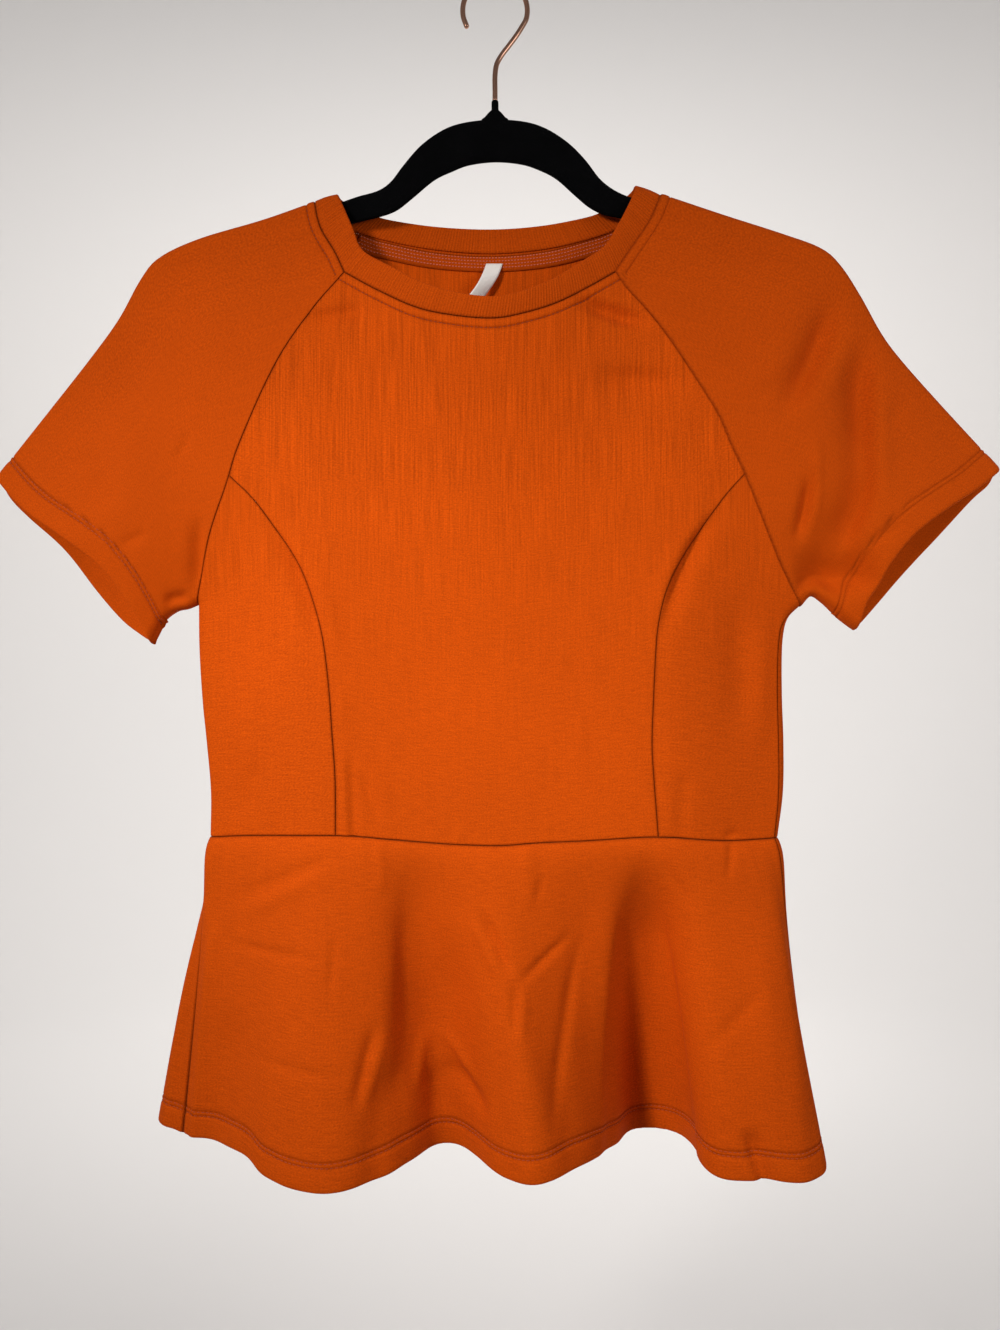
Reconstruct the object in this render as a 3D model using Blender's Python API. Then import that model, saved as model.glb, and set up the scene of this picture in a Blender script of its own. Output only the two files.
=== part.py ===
"""Peplum top with raglan sleeves, closed on a slim hanger with a wire hook.

Sizes in the tables are millimetres. The origin is the inside of the hook's crest,
the front faces -Y and the wearer's left is +X. The cloth hangs as two sheets, front
and back, that meet along the folded outline; each cut piece is an area of a sheet.
"""

import math

import bmesh
import bpy
import numpy as np

MM = 0.001
WALL = 1.5
BAND_WALL = 2.0
HALF_GAP = 0.15
FOLD_RADIUS = 5.5
FOLD_REACH = 80.0
BAND_PUFF = 0.6
PEPLUM_PUFF = 2.5
# How far the frill swells out beyond a straight line at its left and right outlines.
BELLY_LEFT = 4.0
BELLY_RIGHT = 7.0
WIRE_RADIUS = 1.7
HOOK_RADIUS = 21.0
ARM_HALF = 2.5
LABEL_WIDTH = 11.0
LABEL_WALL = 1.0

# How many cells each stretch of a piece is divided into.
CELLS_RAGLAN = 8
CELLS_UNDER = 6
CELLS_SIDE = 8
CELLS_CENTRE = 20
CELLS_NECK = 5
CELLS_SLEEVE = 9

# Half depth of the front and back sheets: height z, then at the centre, at the
# princess line (100 out) and at the side (170 out).
FRONT_DEPTH = [
    (-140, 20, 11, 9),
    (-170, 26, 13, 11),
    (-200, 30, 17, 15),
    (-230, 31, 21, 17),
    (-300, 28, 23, 19),
    (-380, 28, 27, 21),
    (-435, 28, 29, 23),
    (-500, 27, 27, 22),
    (-560, 26, 24, 19),
]
BACK_DEPTH = [
    (-140, 14, 9, 8),
    (-172, 20, 12, 10),
    (-230, 19, 15, 14),
    (-300, 17, 16, 16),
    (-380, 18, 18, 17),
    (-435, 20, 20, 18),
    (-500, 20, 20, 18),
    (-560, 20, 19, 16),
]

# Seams and folds of each side as (x, z), from the neck outward or downward.
RIGHT = {
    "shoulder": [(-117, -143.9), (-150.2, -155.6), (-191.8, -168), (-217.8, -180.3),
                 (-230.1, -194.6), (-244.4, -220.6), (-263.2, -246.6),
                 (-293.8, -285.6), (-323.7, -323.3)],
    "underarm": [(-192.4, -405.8), (-198.9, -408.5), (-206.7, -410.5),
                 (-215.2, -417.5), (-222.7, -431.2)],
    "side": [(-192.4, -405.8), (-192, -435), (-190, -468), (-187.4, -494),
             (-184.6, -526.5), (-184.8, -556)],
    "raglan_front": [(-95.9, -194.8), (-109.1, -211.2), (-121.6, -228), (-134.6, -247),
                     (-145.8, -268), (-155.6, -290), (-163.6, -309.8), (-168.1, -325)],
    "raglan_under": [(-168.1, -325), (-171.5, -335.7), (-180, -358.8), (-184.8, -375),
                     (-189.5, -392), (-192.4, -405.8)],
    "princess": [(-168.1, -325), (-153.1, -339.4), (-140.7, -355.6), (-122, -384),
                 (-111.1, -413.6), (-106.2, -435), (-103.3, -461), (-101.5, -488.5),
                 (-99.8, -517), (-99.9, -552)],
    "neck_front": [(-117, -143.9), (-112.4, -163), (-102.2, -181), (-95.9, -194.8)],
    "neck_back": [(-117, -143.9), (-105, -154.5), (-91, -161), (-78, -165.5)],
    "raglan_back": [(-78, -165.5), (-98, -192), (-122, -228), (-143, -268),
                    (-160, -310), (-174, -350), (-186, -385), (-192.4, -405.8)],
    "cuff_front": [(-222.7, -431.2), (-226.5, -421), (-231, -411), (-238, -399),
                   (-252, -381), (-271.7, -365.4), (-293.7, -351), (-308, -339.5),
                   (-323.7, -323.3)],
    "cuff_back": [(-222.7, -431.2), (-234, -424.5), (-247.5, -414.5), (-265.5, -395),
                  (-286.7, -368), (-307.6, -348), (-319, -335), (-323.7, -323.3)],
}
LEFT = {
    "shoulder": [(107.9, -140), (148.8, -153.7), (185.2, -165.4), (211.2, -175.1),
                 (224.2, -186.8), (237.2, -207), (250.2, -230.4), (263.2, -247.9),
                 (289.2, -277.2), (326.9, -318.1)],
    "underarm": [(197.9, -406.5), (205, -399.5), (212.9, -403.9), (222, -412.5),
                 (233.7, -421.5)],
    "side": [(197.9, -406.5), (190.5, -414), (187.5, -424), (186.4, -440),
             (186.6, -468), (187.5, -494), (187.2, -526.5), (183.5, -556.6)],
    "raglan_front": [(76.7, -195.5), (84.5, -206.9), (98.4, -223), (112.2, -241.6),
                     (123.6, -258.5), (133.5, -273.6), (142, -287.6), (149, -304.3),
                     (158.2, -323.8)],
    "raglan_under": [(158.2, -323.8), (168.4, -349.2), (179.7, -375), (187.4, -389.3),
                     (197.9, -406.5)],
    "princess": [(158.2, -323.8), (145.8, -337.5), (129.3, -360), (114.8, -382),
                 (106.7, -400), (102.2, -418.8), (100.5, -435.6), (99.1, -467),
                 (98.4, -496), (100.5, -525), (102.7, -553)],
    "neck_front": [(107.9, -140), (100.3, -158.3), (88.2, -177.4), (76.7, -195.5)],
    "neck_back": [(107.9, -140), (96, -151), (83, -158), (70, -163)],
    "raglan_back": [(70, -163), (90, -191), (114, -228), (136, -268), (155, -310),
                    (172, -350), (187, -386), (197.9, -406.5)],
    "cuff_front": [(233.7, -421.5), (236, -412), (238.5, -403), (243.9, -394),
                   (251.4, -379), (266.8, -360), (292, -342), (309, -331.5),
                   (326.9, -318.1)],
    "cuff_back": [(233.7, -421.5), (241, -415.3), (253.8, -402), (266.2, -388.5),
                  (291.2, -361.8), (313.3, -336), (323, -326.5), (326.9, -318.1)],
}

# The left side seam lies this far round on the front of the fold: z, distance.
LEFT_WRAP = [(-406.5, 0.6), (-421, 3.6), (-461, 4.4), (-494, 4.7), (-525, 4.3), (-557, 2.9)]

NECK_FRONT = [(-95.9, -194.8), (-73, -208.8), (-48.6, -221.2), (-24.7, -227.3), (-1, -229.5),
              (18, -226), (38.8, -218.6), (58.8, -207.2), (76.7, -195.5)]
NECK_BACK = [(-78, -165.5), (-42, -170.8), (-3.5, -172.3), (35, -169.8), (70, -163)]
WAIST_FRONT = [(-184.8, -556), (-151.3, -553.5), (-99.9, -552), (-63.1, -554.6), (-28.6, -557.1),
               (3.2, -558), (25.1, -556.5), (59.6, -555.1), (102.7, -553), (147.4, -556.7),
               (180.6, -556.5)]
WAIST_BACK = [(-184.8, -556), (-120, -556), (0, -556.5), (120, -556), (186.4, -556.6)]

# Upper edge of the neckband as (x, y, z), once round from the right shoulder by the front.
BAND_EDGE = {
    "front right": [(-102, 0, -138.7), (-101, -5, -142), (-97.5, -8.5, -150), (-91, -13, -165.5)],
    "front": [(-83.8, -17, -181.6), (-64, -22.5, -194), (-43.6, -28, -205.5), (-22, -31.5, -212.3),
              (0, -33, -214.8), (17, -32, -211), (35.5, -29, -203), (53, -24, -191.5)],
    "front left": [(69, -18, -179.5), (79, -13, -163), (87, -8.5, -146.5), (90.4, -5, -137.5)],
    "back left": [(91, 0, -132.9), (89.5, 5, -134.8), (82, 8.5, -140.5), (72, 11.5, -145)],
    "back": [(60, 13.5, -148.6), (30, 17.5, -152.4), (-3.4, 19, -154), (-38, 18, -153)],
    "back right": [(-68, 14, -150.5), (-82, 11.5, -147.5), (-93, 8.5, -143.8), (-100.5, 5, -140.2)],
}

# Hem of the peplum as (x, y, z) from the right side seam by the front to the left seam,
# then by the back to the right seam again.
HEM_FRONT = [(-201.5, -6, -747), (-158, -30, -748.7), (-138.7, -45, -756.5), (-103.3, -57, -760.4),
             (-69, -48, -757), (-52.5, -31, -753.6), (-34.9, -15, -752.1), (-15.5, -26, -753.7),
             (6.3, -46, -756.5), (27, -55, -755.7), (52.5, -34, -753.5), (77.5, -5, -751.4),
             (98.7, 6, -748.6), (109.5, -3, -749.4), (117.5, -26, -756), (137, -42, -759),
             (166.3, -46.5, -758), (188, -46, -759.3), (201.5, -40, -758), (206.5, -29, -756),
             (204.5, -14, -754)]
HEM_BACK = [(204.5, -14, -754), (196, 12, -752), (172, 32, -754), (141, 49, -757), (111, 48, -757),
            (82, 29, -753), (55, 14, -751), (26, 22, -753), (-4, 46, -757), (-35, 55, -758),
            (-64, 43, -756), (-89, 20, -752), (-114, 13, -751), (-139, 28, -754),
            (-165, 45, -757), (-192, 43, -756), (-213, 29, -751), (-222, 12, -745),
            (-216, -1, -744.5), (-201.5, -6, -747)]

# Shares of the way down a peplum gore at which it is cut into cells.
PEPLUM_STEPS = [0, 0.03, 0.08, 0.16, 0.27, 0.38, 0.5, 0.62, 0.74, 0.86, 0.95, 1]

# Distances in from a side fold; cells are small where the cloth turns.
SIDE_STEPS = [0, 0.7, 3.5, 9, 18, 30, 43, 57, 71, 85]
BACK_STEPS = [0, 0.8, 3.6, 9, 18, 30, 44]
BACK_MIDDLE_CELLS = 18
WRAP_SHARES = [0, 0.56, 0.89, 1]

# Hanger arms and arch: upper edge (x, z) and lower edge (x, z) of each station.
ARM_STATIONS = [
    (-217.5, -188, -217, -192.5), (-212, -183, -211, -194.5), (-200, -177, -200, -189.5),
    (-184, -171, -185, -184), (-150, -160, -151, -172.5), (-130, -153, -131, -166),
    (-117, -148.3, -116, -162.3), (-100.8, -144.4, -97, -158.6), (-89, -140.4, -86, -156),
    (-76.2, -136.7, -74, -153), (-67.8, -130.9, -64, -149.2), (-59.3, -119.8, -54, -141.5),
    (-48.1, -107.1, -39.6, -129.6), (-33.9, -97.1, -28.3, -124.1), (-19.8, -92.3, -17, -119.8),
    (0, -90.3, 0, -117.7), (19.8, -91.8, 17, -119.2), (33.9, -96.5, 28.3, -122.8),
    (47.8, -105.6, 39.6, -128.6), (59.1, -117, 52, -139.5), (67.6, -128.3, 61, -147),
    (76, -135.3, 71, -152), (85.8, -140.2, 83.1, -154.3), (96, -142.6, 94, -156.4),
    (107.9, -144.6, 107.5, -158.4), (124, -150.2, 124, -163.4), (148.8, -158, 149, -170.5),
    (180, -168, 181, -181), (196, -173.6, 197, -186.5), (209, -179.6, 208.5, -191),
    (215, -184, 214, -189.5),
]
# Boss and sleeve that hold the hook: height, half width, half depth.
BOSS = [(-98, 7.5, 1.9), (-91, 9, 2.7), (-88.7, 6.8, 2.9), (-86, 4.4, 2.9), (-84.6, 2.8, 2.6),
        (-84, 2.35, 2.35), (-78.9, 2.25, 2.25), (-78.6, 1.9, 1.9)]
# Shank of the hook (x, z) from the boss up to where the round crook begins.
SHANK = [(0, -78.2), (0, -70), (0, -62), (1, -54.5), (4.2, -48.4), (8.9, -42.2), (13.8, -35.6),
         (18, -29)]
CROOK_START = -14.0
CROOK_END = 208.0

MATERIALS = {
    "knit_rust": ((0.55, 0.07, 0.008, 1), 0.0, 0.85),
    "hanger_flock": ((0.008, 0.008, 0.009, 1), 0.0, 0.95),
    "hook_wire": ((0.72, 0.36, 0.22, 1), 1.0, 0.28),
    "label_white": ((0.8, 0.8, 0.78, 1), 0.0, 0.7),
}


def smooth(rows, per=10, closed=False):
    """Dense points on the smooth line through the rows."""
    pts = np.array(rows, float)
    if closed:
        ext = np.vstack([pts[-1], pts, pts[0], pts[1]])
    else:
        ext = np.vstack([2 * pts[0] - pts[1], pts, 2 * pts[-1] - pts[-2]])
    t = (np.arange(per) / per)[:, None]
    out = []
    for a, b, c, d in zip(ext[:-3], ext[1:-2], ext[2:-1], ext[3:]):
        out.append(0.5 * (2 * b + (c - a) * t + (2 * a - 5 * b + 4 * c - d) * t * t
                          + (3 * b - a - 3 * c + d) * t ** 3))
    if not closed:
        out.append(pts[-1:])
    return np.vstack(out)


def shares(points):
    """Share of the length at each point of a line, from 0 to 1."""
    steps = np.linalg.norm(np.diff(points, axis=0), axis=1)
    total = np.concatenate([[0.0], np.cumsum(steps)])
    return total / total[-1]


def along(dense, at):
    """Points at the given shares of a dense line's length."""
    s = shares(dense)
    return np.stack([np.interp(at, s, dense[:, i]) for i in range(dense.shape[1])], axis=-1)


def even(count):
    return np.linspace(0, 1, count + 1)


def ends_close(count, power=2.3):
    """Shares that start close together and open out."""
    return (np.arange(count + 1) / count) ** power


def folded_outline():
    """Short straight runs of every folded edge, as start and end points."""
    lines = [smooth(side[key]) for side in (RIGHT, LEFT) for key in ("shoulder", "underarm", "side")]
    starts = np.vstack([line[:-1] for line in lines])
    ends = np.vstack([line[1:] for line in lines])
    return starts, ends


OUTLINE = folded_outline()
DEPTHS = {1: smooth(FRONT_DEPTH)[::-1], -1: smooth(BACK_DEPTH)[::-1]}


def from_fold(xz):
    """Distance of each point from the folded outline, and the direction away from it."""
    start, end = OUTLINE
    run = end - start
    rel = xz[..., None, :] - start
    t = np.clip((rel * run).sum(-1) / (run * run).sum(-1), 0, 1)
    away = rel - t[..., None] * run
    dist = np.linalg.norm(away, axis=-1)
    near = dist.argmin(-1)[..., None]
    d = np.take_along_axis(dist, near, -1)[..., 0]
    g = np.take_along_axis(away, near[..., None], -2)[..., 0, :]
    side = np.take_along_axis(run[None].repeat(d.size, 0).reshape(d.shape + run.shape),
                              near[..., None], -2)[..., 0, :]
    flat = np.stack([side[..., 1], -side[..., 0]], -1)
    flat /= np.linalg.norm(flat, axis=-1, keepdims=True)
    centre = np.array([0.0, -400.0])
    flat *= np.sign(((centre - xz) * flat).sum(-1))[..., None]
    small = (d < 0.02)[..., None]
    return d, np.where(small, flat, g / np.maximum(d, 1e-9)[..., None])


def ease(t):
    t = np.clip(t, 0, 1)
    return t * t * (3 - 2 * t)


def half_depth(x, z, sheet):
    """Broad half depth of a sheet, before it closes toward its folds."""
    rows = DEPTHS[sheet]
    centre, princess, side = (np.interp(z, rows[:, 0], rows[:, i]) for i in (1, 2, 3))
    out = np.abs(x)
    return (centre + (princess - centre) * ease(out / 100)
            + (side - princess) * ease((out - 100) / 70))


def on_sheet(xz, sheet):
    """Points and outward normals of the cloth at (x, z) on the front (1) or back (-1) sheet."""
    d, away = from_fold(xz)
    x, z = xz[..., 0], xz[..., 1]
    broad = half_depth(x, z, 1) * (sheet > 0) + half_depth(x, z, -1) * (sheet < 0)
    turn = np.minimum(d, FOLD_RADIUS)
    fold = np.sqrt(np.maximum(FOLD_RADIUS ** 2 - (FOLD_RADIUS - turn) ** 2, 0))
    arc = math.pi / 2 * np.minimum(d / FOLD_REACH, 1)
    depth = fold + (broad - FOLD_RADIUS) * np.sin(arc)
    slope = (FOLD_RADIUS - turn) / np.maximum(fold, 0.02)
    slope = slope + (broad - FOLD_RADIUS) * np.cos(arc) * math.pi / 2 / FOLD_REACH
    points = np.stack([x, -sheet * depth, z], -1)
    normals = np.stack([-slope * away[..., 0], -sheet * np.ones_like(d), -slope * away[..., 1]], -1)
    return points, normals / np.linalg.norm(normals, axis=-1, keepdims=True)


def coons(left, right, top, bottom):
    """Grid of (x, z) between four sides; left and right run down, top and bottom run across."""
    v = (0.5 * (shares(left) + shares(right)))[:, None, None]
    u = (1 - v[..., 0]) * shares(top) + v[..., 0] * shares(bottom)
    u = u[..., None]
    flat = (1 - u) * left[:, None] + u * right[:, None] + (1 - v) * top + v * bottom
    corners = ((1 - v) * ((1 - u) * left[0] + u * right[0])
               + v * ((1 - u) * left[-1] + u * right[-1]))
    return flat - corners


def inset(grid, left=HALF_GAP, right=HALF_GAP, top=HALF_GAP, bottom=HALF_GAP):
    """The grid with its border points moved inward by the given amounts."""
    out = grid.copy()

    def shift(edge, inner, amounts):
        run = np.gradient(edge, axis=0)
        side = np.stack([-run[:, 1], run[:, 0]], -1)
        side /= np.linalg.norm(side, axis=-1, keepdims=True)
        side *= np.sign(((inner - edge) * side).sum(-1))[:, None]
        return side * np.broadcast_to(amounts, len(edge))[:, None]

    out[:, 0] += shift(grid[:, 0], grid[:, 1], left)
    out[:, -1] += shift(grid[:, -1], grid[:, -2], right)
    out[0] += shift(grid[0], grid[1], top)
    out[-1] += shift(grid[-1], grid[-2], bottom)
    return out


def material(name):
    mat = bpy.data.materials.new(name)
    mat.use_nodes = True
    colour, metallic, roughness = MATERIALS[name]
    shader = mat.node_tree.nodes["Principled BSDF"]
    shader.inputs["Base Color"].default_value = colour
    shader.inputs["Metallic"].default_value = metallic
    shader.inputs["Roughness"].default_value = roughness
    mat.diffuse_color = colour
    return mat


def add_object(name, points, faces, mat):
    """One closed body from points in millimetres, with outward normals."""
    mesh = bpy.data.meshes.new(name)
    mesh.from_pydata((np.array(points) * MM).tolist(), [], faces)
    bm = bmesh.new()
    bm.from_mesh(mesh)
    bmesh.ops.recalc_face_normals(bm, faces=bm.faces)
    bm.to_mesh(mesh)
    bm.free()
    mesh.polygons.foreach_set("use_smooth", [True] * len(mesh.polygons))
    mesh.materials.append(mat)
    obj = bpy.data.objects.new(name, mesh)
    bpy.context.scene.collection.objects.link(obj)
    return obj


def add_wall(name, outer, inner, mat, ring=False):
    """A closed wall between two grids of points; a ring closes on itself across."""
    rows, cols = outer.shape[:2]
    size = rows * cols
    spans = cols if ring else cols - 1

    def at(j, k, layer):
        return layer * size + j * cols + k % cols

    faces = []
    for j in range(rows - 1):
        for k in range(spans):
            faces.append((at(j, k, 0), at(j + 1, k, 0), at(j + 1, k + 1, 0), at(j, k + 1, 0)))
            faces.append((at(j, k, 1), at(j, k + 1, 1), at(j + 1, k + 1, 1), at(j + 1, k, 1)))
    for k in range(spans):
        faces.append((at(0, k, 0), at(0, k + 1, 0), at(0, k + 1, 1), at(0, k, 1)))
        faces.append((at(rows - 1, k, 0), at(rows - 1, k, 1), at(rows - 1, k + 1, 1),
                      at(rows - 1, k + 1, 0)))
    if not ring:
        for j in range(rows - 1):
            faces.append((at(j, 0, 0), at(j, 0, 1), at(j + 1, 0, 1), at(j + 1, 0, 0)))
            faces.append((at(j, cols - 1, 0), at(j + 1, cols - 1, 0), at(j + 1, cols - 1, 1),
                          at(j, cols - 1, 1)))
    points = np.concatenate([outer.reshape(-1, 3), inner.reshape(-1, 3)])
    return add_object(name, points, faces, mat)


def side_lines(side):
    """Seam points of one side, shared by every piece that meets there."""
    raglan = along(smooth(side["raglan_front"]), even(CELLS_RAGLAN))
    under = along(smooth(side["raglan_under"]), 1 - ends_close(CELLS_UNDER, 2.0)[::-1])
    princess_cells = CELLS_UNDER + CELLS_SIDE
    back = along(smooth(side["raglan_back"]),
                 np.concatenate([even(CELLS_RAGLAN) * 0.66,
                                 0.66 + 0.34 * (1 - ends_close(CELLS_UNDER, 2.0)[::-1][1:])]))
    return {
        "raglan": raglan,
        "under": under,
        "princess": along(smooth(side["princess"]), even(princess_cells)),
        "fold": along(smooth(side["side"]), even(CELLS_SIDE)),
        "back": back,
        "neck_front": along(smooth(side["neck_front"]), ends_close(CELLS_NECK)),
        "neck_back": along(smooth(side["neck_back"]), ends_close(CELLS_NECK)),
    }


def wrap(z):
    rows = np.array(LEFT_WRAP[::-1], float)
    return np.interp(z, rows[:, 0], rows[:, 1])


def sheet_wall(name, raw, mat, sheet=1, fold_x=None, **gaps):
    """Wall of one flat-cut piece; past fold_x a back piece turns round to the front."""
    rim = inset(raw, **gaps)
    sheets = np.full(rim.shape[:2], sheet)
    if fold_x is not None:
        past = rim[..., 0] > fold_x[:, None]
        rim[..., 0] = np.where(past, 2 * fold_x[:, None] - rim[..., 0], rim[..., 0])
        sheets = np.where(past, -sheet, sheets)
    points, normals = on_sheet(rim, sheets)
    add_wall(name, points, points - WALL * normals, mat)


def split_top(line, xs):
    """Points of a line through rows at the given x."""
    dense = smooth(line)
    return np.stack([xs, np.interp(xs, dense[:, 0], dense[:, 1])], -1)


def build_bodice(mat):
    """Front centre, two front sides and the back; returns the waist and neck points."""
    right, left = side_lines(RIGHT), side_lines(LEFT)
    top = along(smooth(NECK_FRONT), even(CELLS_CENTRE))
    steps = np.array(SIDE_STEPS) / SIDE_STEPS[-1]
    waist_left_x = left["fold"][-1, 0] - wrap(left["fold"][-1, 1])

    x_right = right["fold"][-1, 0] + (right["princess"][-1, 0] - right["fold"][-1, 0]) * steps
    x_centre = np.linspace(right["princess"][-1, 0], left["princess"][-1, 0], CELLS_CENTRE + 1)
    x_left = waist_left_x + (left["princess"][-1, 0] - waist_left_x) * steps
    waist_right = split_top(WAIST_FRONT, x_right)
    waist_centre = split_top(WAIST_FRONT, x_centre)
    waist_left = split_top(WAIST_FRONT, x_left[::-1])
    waist_right[0] = right["fold"][-1]
    for line, ends in ((right, (waist_right[-1], waist_centre[0])),
                       (left, (waist_left[0], waist_centre[-1]))):
        for end in ends:
            end[:] = line["princess"][-1]

    centre = coons(np.vstack([right["raglan"], right["princess"][1:]]),
                   np.vstack([left["raglan"], left["princess"][1:]]), top, waist_centre)
    sheet_wall("front_center", centre, mat)

    def tip_cut(line):
        """The line with its first point moved a little way down from the seam crossing."""
        out = line.copy()
        run = line[1] - line[0]
        out[0] += run * 1.4 / np.linalg.norm(run)
        return out

    outside = tip_cut(np.vstack([right["under"], right["fold"][1:]]))
    inside = tip_cut(right["princess"])
    tip = outside[0] + (inside[0] - outside[0]) * steps[:, None]
    gap = np.full(len(outside), 0.01)
    gap[:CELLS_UNDER + 1] = HALF_GAP
    gap[CELLS_UNDER - 1:CELLS_UNDER + 1] = 2 * HALF_GAP
    side_right = coons(outside, inside, tip, waist_right)
    sheet_wall("front_side_right", side_right, mat, left=gap)

    fold = left["fold"].copy()
    fold[:, 0] -= wrap(fold[:, 1])
    outside = tip_cut(np.vstack([left["under"][:-1], fold]))
    inside = tip_cut(left["princess"])
    tip = inside[0] + (outside[0] - inside[0]) * (1 - steps[::-1])[:, None]
    waist_left[-1] = fold[-1]
    side_left = coons(inside, outside, tip, waist_left)
    sheet_wall("front_side_left", side_left, mat)

    fold_x = np.full(CELLS_RAGLAN + CELLS_UNDER + CELLS_SIDE + 1, 1e6)
    fold_x[-CELLS_SIDE - 1:] = left["fold"][:, 0]
    reach = np.full(len(fold_x), 2.5)
    reach[-CELLS_SIDE - 1:] = wrap(left["fold"][:, 1])
    left_line = np.vstack([right["back"], right["fold"][1:]])
    right_line = np.vstack([left["back"], left["fold"][1:]])
    right_line[-CELLS_SIDE - 1:, 0] += reach[-CELLS_SIDE - 1:]
    width = np.linalg.norm(right_line - left_line, axis=1)
    half = np.array(BACK_STEPS, float)
    rest = width - reach
    back_shares = []
    for total, near in zip(width, rest):
        scale = min(1.0, near / 376)
        edge = half * scale
        middle = np.linspace(edge[-1], near - edge[-1], BACK_MIDDLE_CELLS + 1)
        row = np.concatenate([edge[:-1], middle, (near - edge[::-1])[1:]])
        tail = near + (total - near) * (1 - np.array(WRAP_SHARES)[::-1])[1:]
        back_shares.append(np.concatenate([row, tail]) / total)
    back_shares = np.array(back_shares)
    neck = along(smooth(NECK_BACK), back_shares[0])
    waist = split_top(WAIST_BACK, left_line[-1, 0]
                      + (right_line[-1, 0] - left_line[-1, 0]) * back_shares[-1])
    waist[0], waist[-1] = left_line[-1], right_line[-1]
    v = (0.5 * (shares(left_line) + shares(right_line)))[:, None, None]
    u = back_shares[..., None]
    back = ((1 - u) * left_line[:, None] + u * right_line[:, None]
            + (1 - v) * (neck - (1 - u) * neck[0] - u * neck[-1])
            + v * (waist - (1 - u) * waist[0] - u * waist[-1]))
    gap = np.full(len(left_line), 0.01)
    gap[:CELLS_RAGLAN + CELLS_UNDER + 1] = HALF_GAP
    gap[CELLS_RAGLAN + CELLS_UNDER - 1:CELLS_RAGLAN + CELLS_UNDER + 1] = 2 * HALF_GAP
    sheet_wall("back", back, mat, sheet=-1, fold_x=fold_x, left=gap)

    past = back[-1, :, 0] > fold_x[-1]
    waist_back = back[-1].copy()
    waist_back[:, 0] = np.where(past, 2 * fold_x[-1] - waist_back[:, 0], waist_back[:, 0])
    waist_front = np.vstack([waist_right[:-1], waist_centre[:-1], waist_left])
    front_points, front_normals = on_sheet(waist_front, 1)
    back_points, back_normals = on_sheet(waist_back, np.where(past, 1, -1))
    return {
        "right": right, "left": left, "neck_front": top, "neck_back": neck,
        "waist_front": (front_points, front_normals),
        "waist_back": (back_points[::-1], back_normals[::-1]),
    }


def build_sleeve(name, side, lines, mat):
    """Raglan sleeve: a tube from the raglan seams and neck to the open cuff."""
    rings = []
    for sheet, raglan, neck, cuff in (
            (1, np.vstack([lines["raglan"], lines["under"][1:]]), lines["neck_front"],
             side["cuff_front"]),
            (-1, lines["back"], lines["neck_back"], side["cuff_back"])):
        seam = np.vstack([raglan[::-1], neck[::-1][1:]])
        cuff_line = along(smooth(cuff), shares(seam))
        lower = along(smooth(side["underarm"]), even(CELLS_SLEEVE))
        upper = along(smooth(side["shoulder"]), even(CELLS_SLEEVE))
        raw = coons(lower, upper, seam, cuff_line)
        grid = inset(raw, left=0, right=0, bottom=0)
        for column, key, start in ((0, "underarm", 0.8), (-1, "shoulder", 0.6)):
            dense = smooth(side[key])
            length = np.linalg.norm(np.diff(dense, axis=0), axis=1).sum()
            grid[0, column] = along(dense, np.array([start / length]))[0]
        points, normals = on_sheet(grid, np.full(grid.shape[:2], sheet))
        points[:, 0, 1] = points[:, -1, 1] = 0
        normals[:, (0, -1), 1] = 0
        rings.append((points, normals))
    (front, front_n), (back, back_n) = rings
    points = np.concatenate([front, back[:, ::-1][:, 1:-1]], axis=1)
    normals = np.concatenate([front_n, back_n[:, ::-1][:, 1:-1]], axis=1)
    normals /= np.linalg.norm(normals, axis=-1, keepdims=True)
    add_wall(name, points, points - WALL * normals, mat, ring=True)


def ring_normals(grid):
    """Outward normals of a closed ring of points, rows running down."""
    across = np.roll(grid, -1, axis=1) - np.roll(grid, 1, axis=1)
    down = np.gradient(grid, axis=0)
    normals = np.cross(down, across)
    normals /= np.linalg.norm(normals, axis=-1, keepdims=True)
    centre = grid.mean(axis=(0, 1))
    if ((grid - centre) * normals).sum() < 0:
        normals = -normals
    return normals


def build_neckband(bodice, mat):
    """Folded band standing on the neck seam, closed all round."""
    right, left = bodice["right"], bodice["left"]
    sections = [
        (right["neck_front"], 1), (bodice["neck_front"], 1), (left["neck_front"][::-1], 1),
        (left["neck_back"], -1), (bodice["neck_back"][::-1], -1), (right["neck_back"][::-1], -1),
    ]
    edge_rows = [row for key in ("front right", "front", "front left", "back left", "back",
                                 "back right") for row in BAND_EDGE[key]]
    per = 10
    dense = smooth(edge_rows, per, closed=True)
    dense = np.vstack([dense, dense[:1]])
    counts = np.cumsum([0] + [len(BAND_EDGE[key]) * per for key in BAND_EDGE])
    seam, seam_n, edge = [], [], []
    for (line, sheet), start, end in zip(sections, counts[:-1], counts[1:]):
        points, normals = on_sheet(line, sheet)
        seam.append(points[:-1])
        seam_n.append(normals[:-1])
        edge.append(along(dense[start:end + 1], shares(line))[:-1])
    seam, seam_n, edge = np.vstack(seam), np.vstack(seam_n), np.vstack(edge)
    rise = edge - seam
    seam = seam + rise * (HALF_GAP / np.linalg.norm(rise, axis=1))[:, None]
    t = np.array([0, 0.3, 0.65, 1])[:, None, None]
    grid = seam + (edge - seam) * t
    normals = ring_normals(grid)
    normals[0] = seam_n
    mix = normals[1] + 0.6 * seam_n
    normals[1] = mix / np.linalg.norm(mix, axis=-1, keepdims=True)
    grid = grid + normals * (BAND_PUFF * np.sin(math.pi * t))
    add_wall("neckband", grid, grid - BAND_WALL * normals, mat, ring=True)


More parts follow.
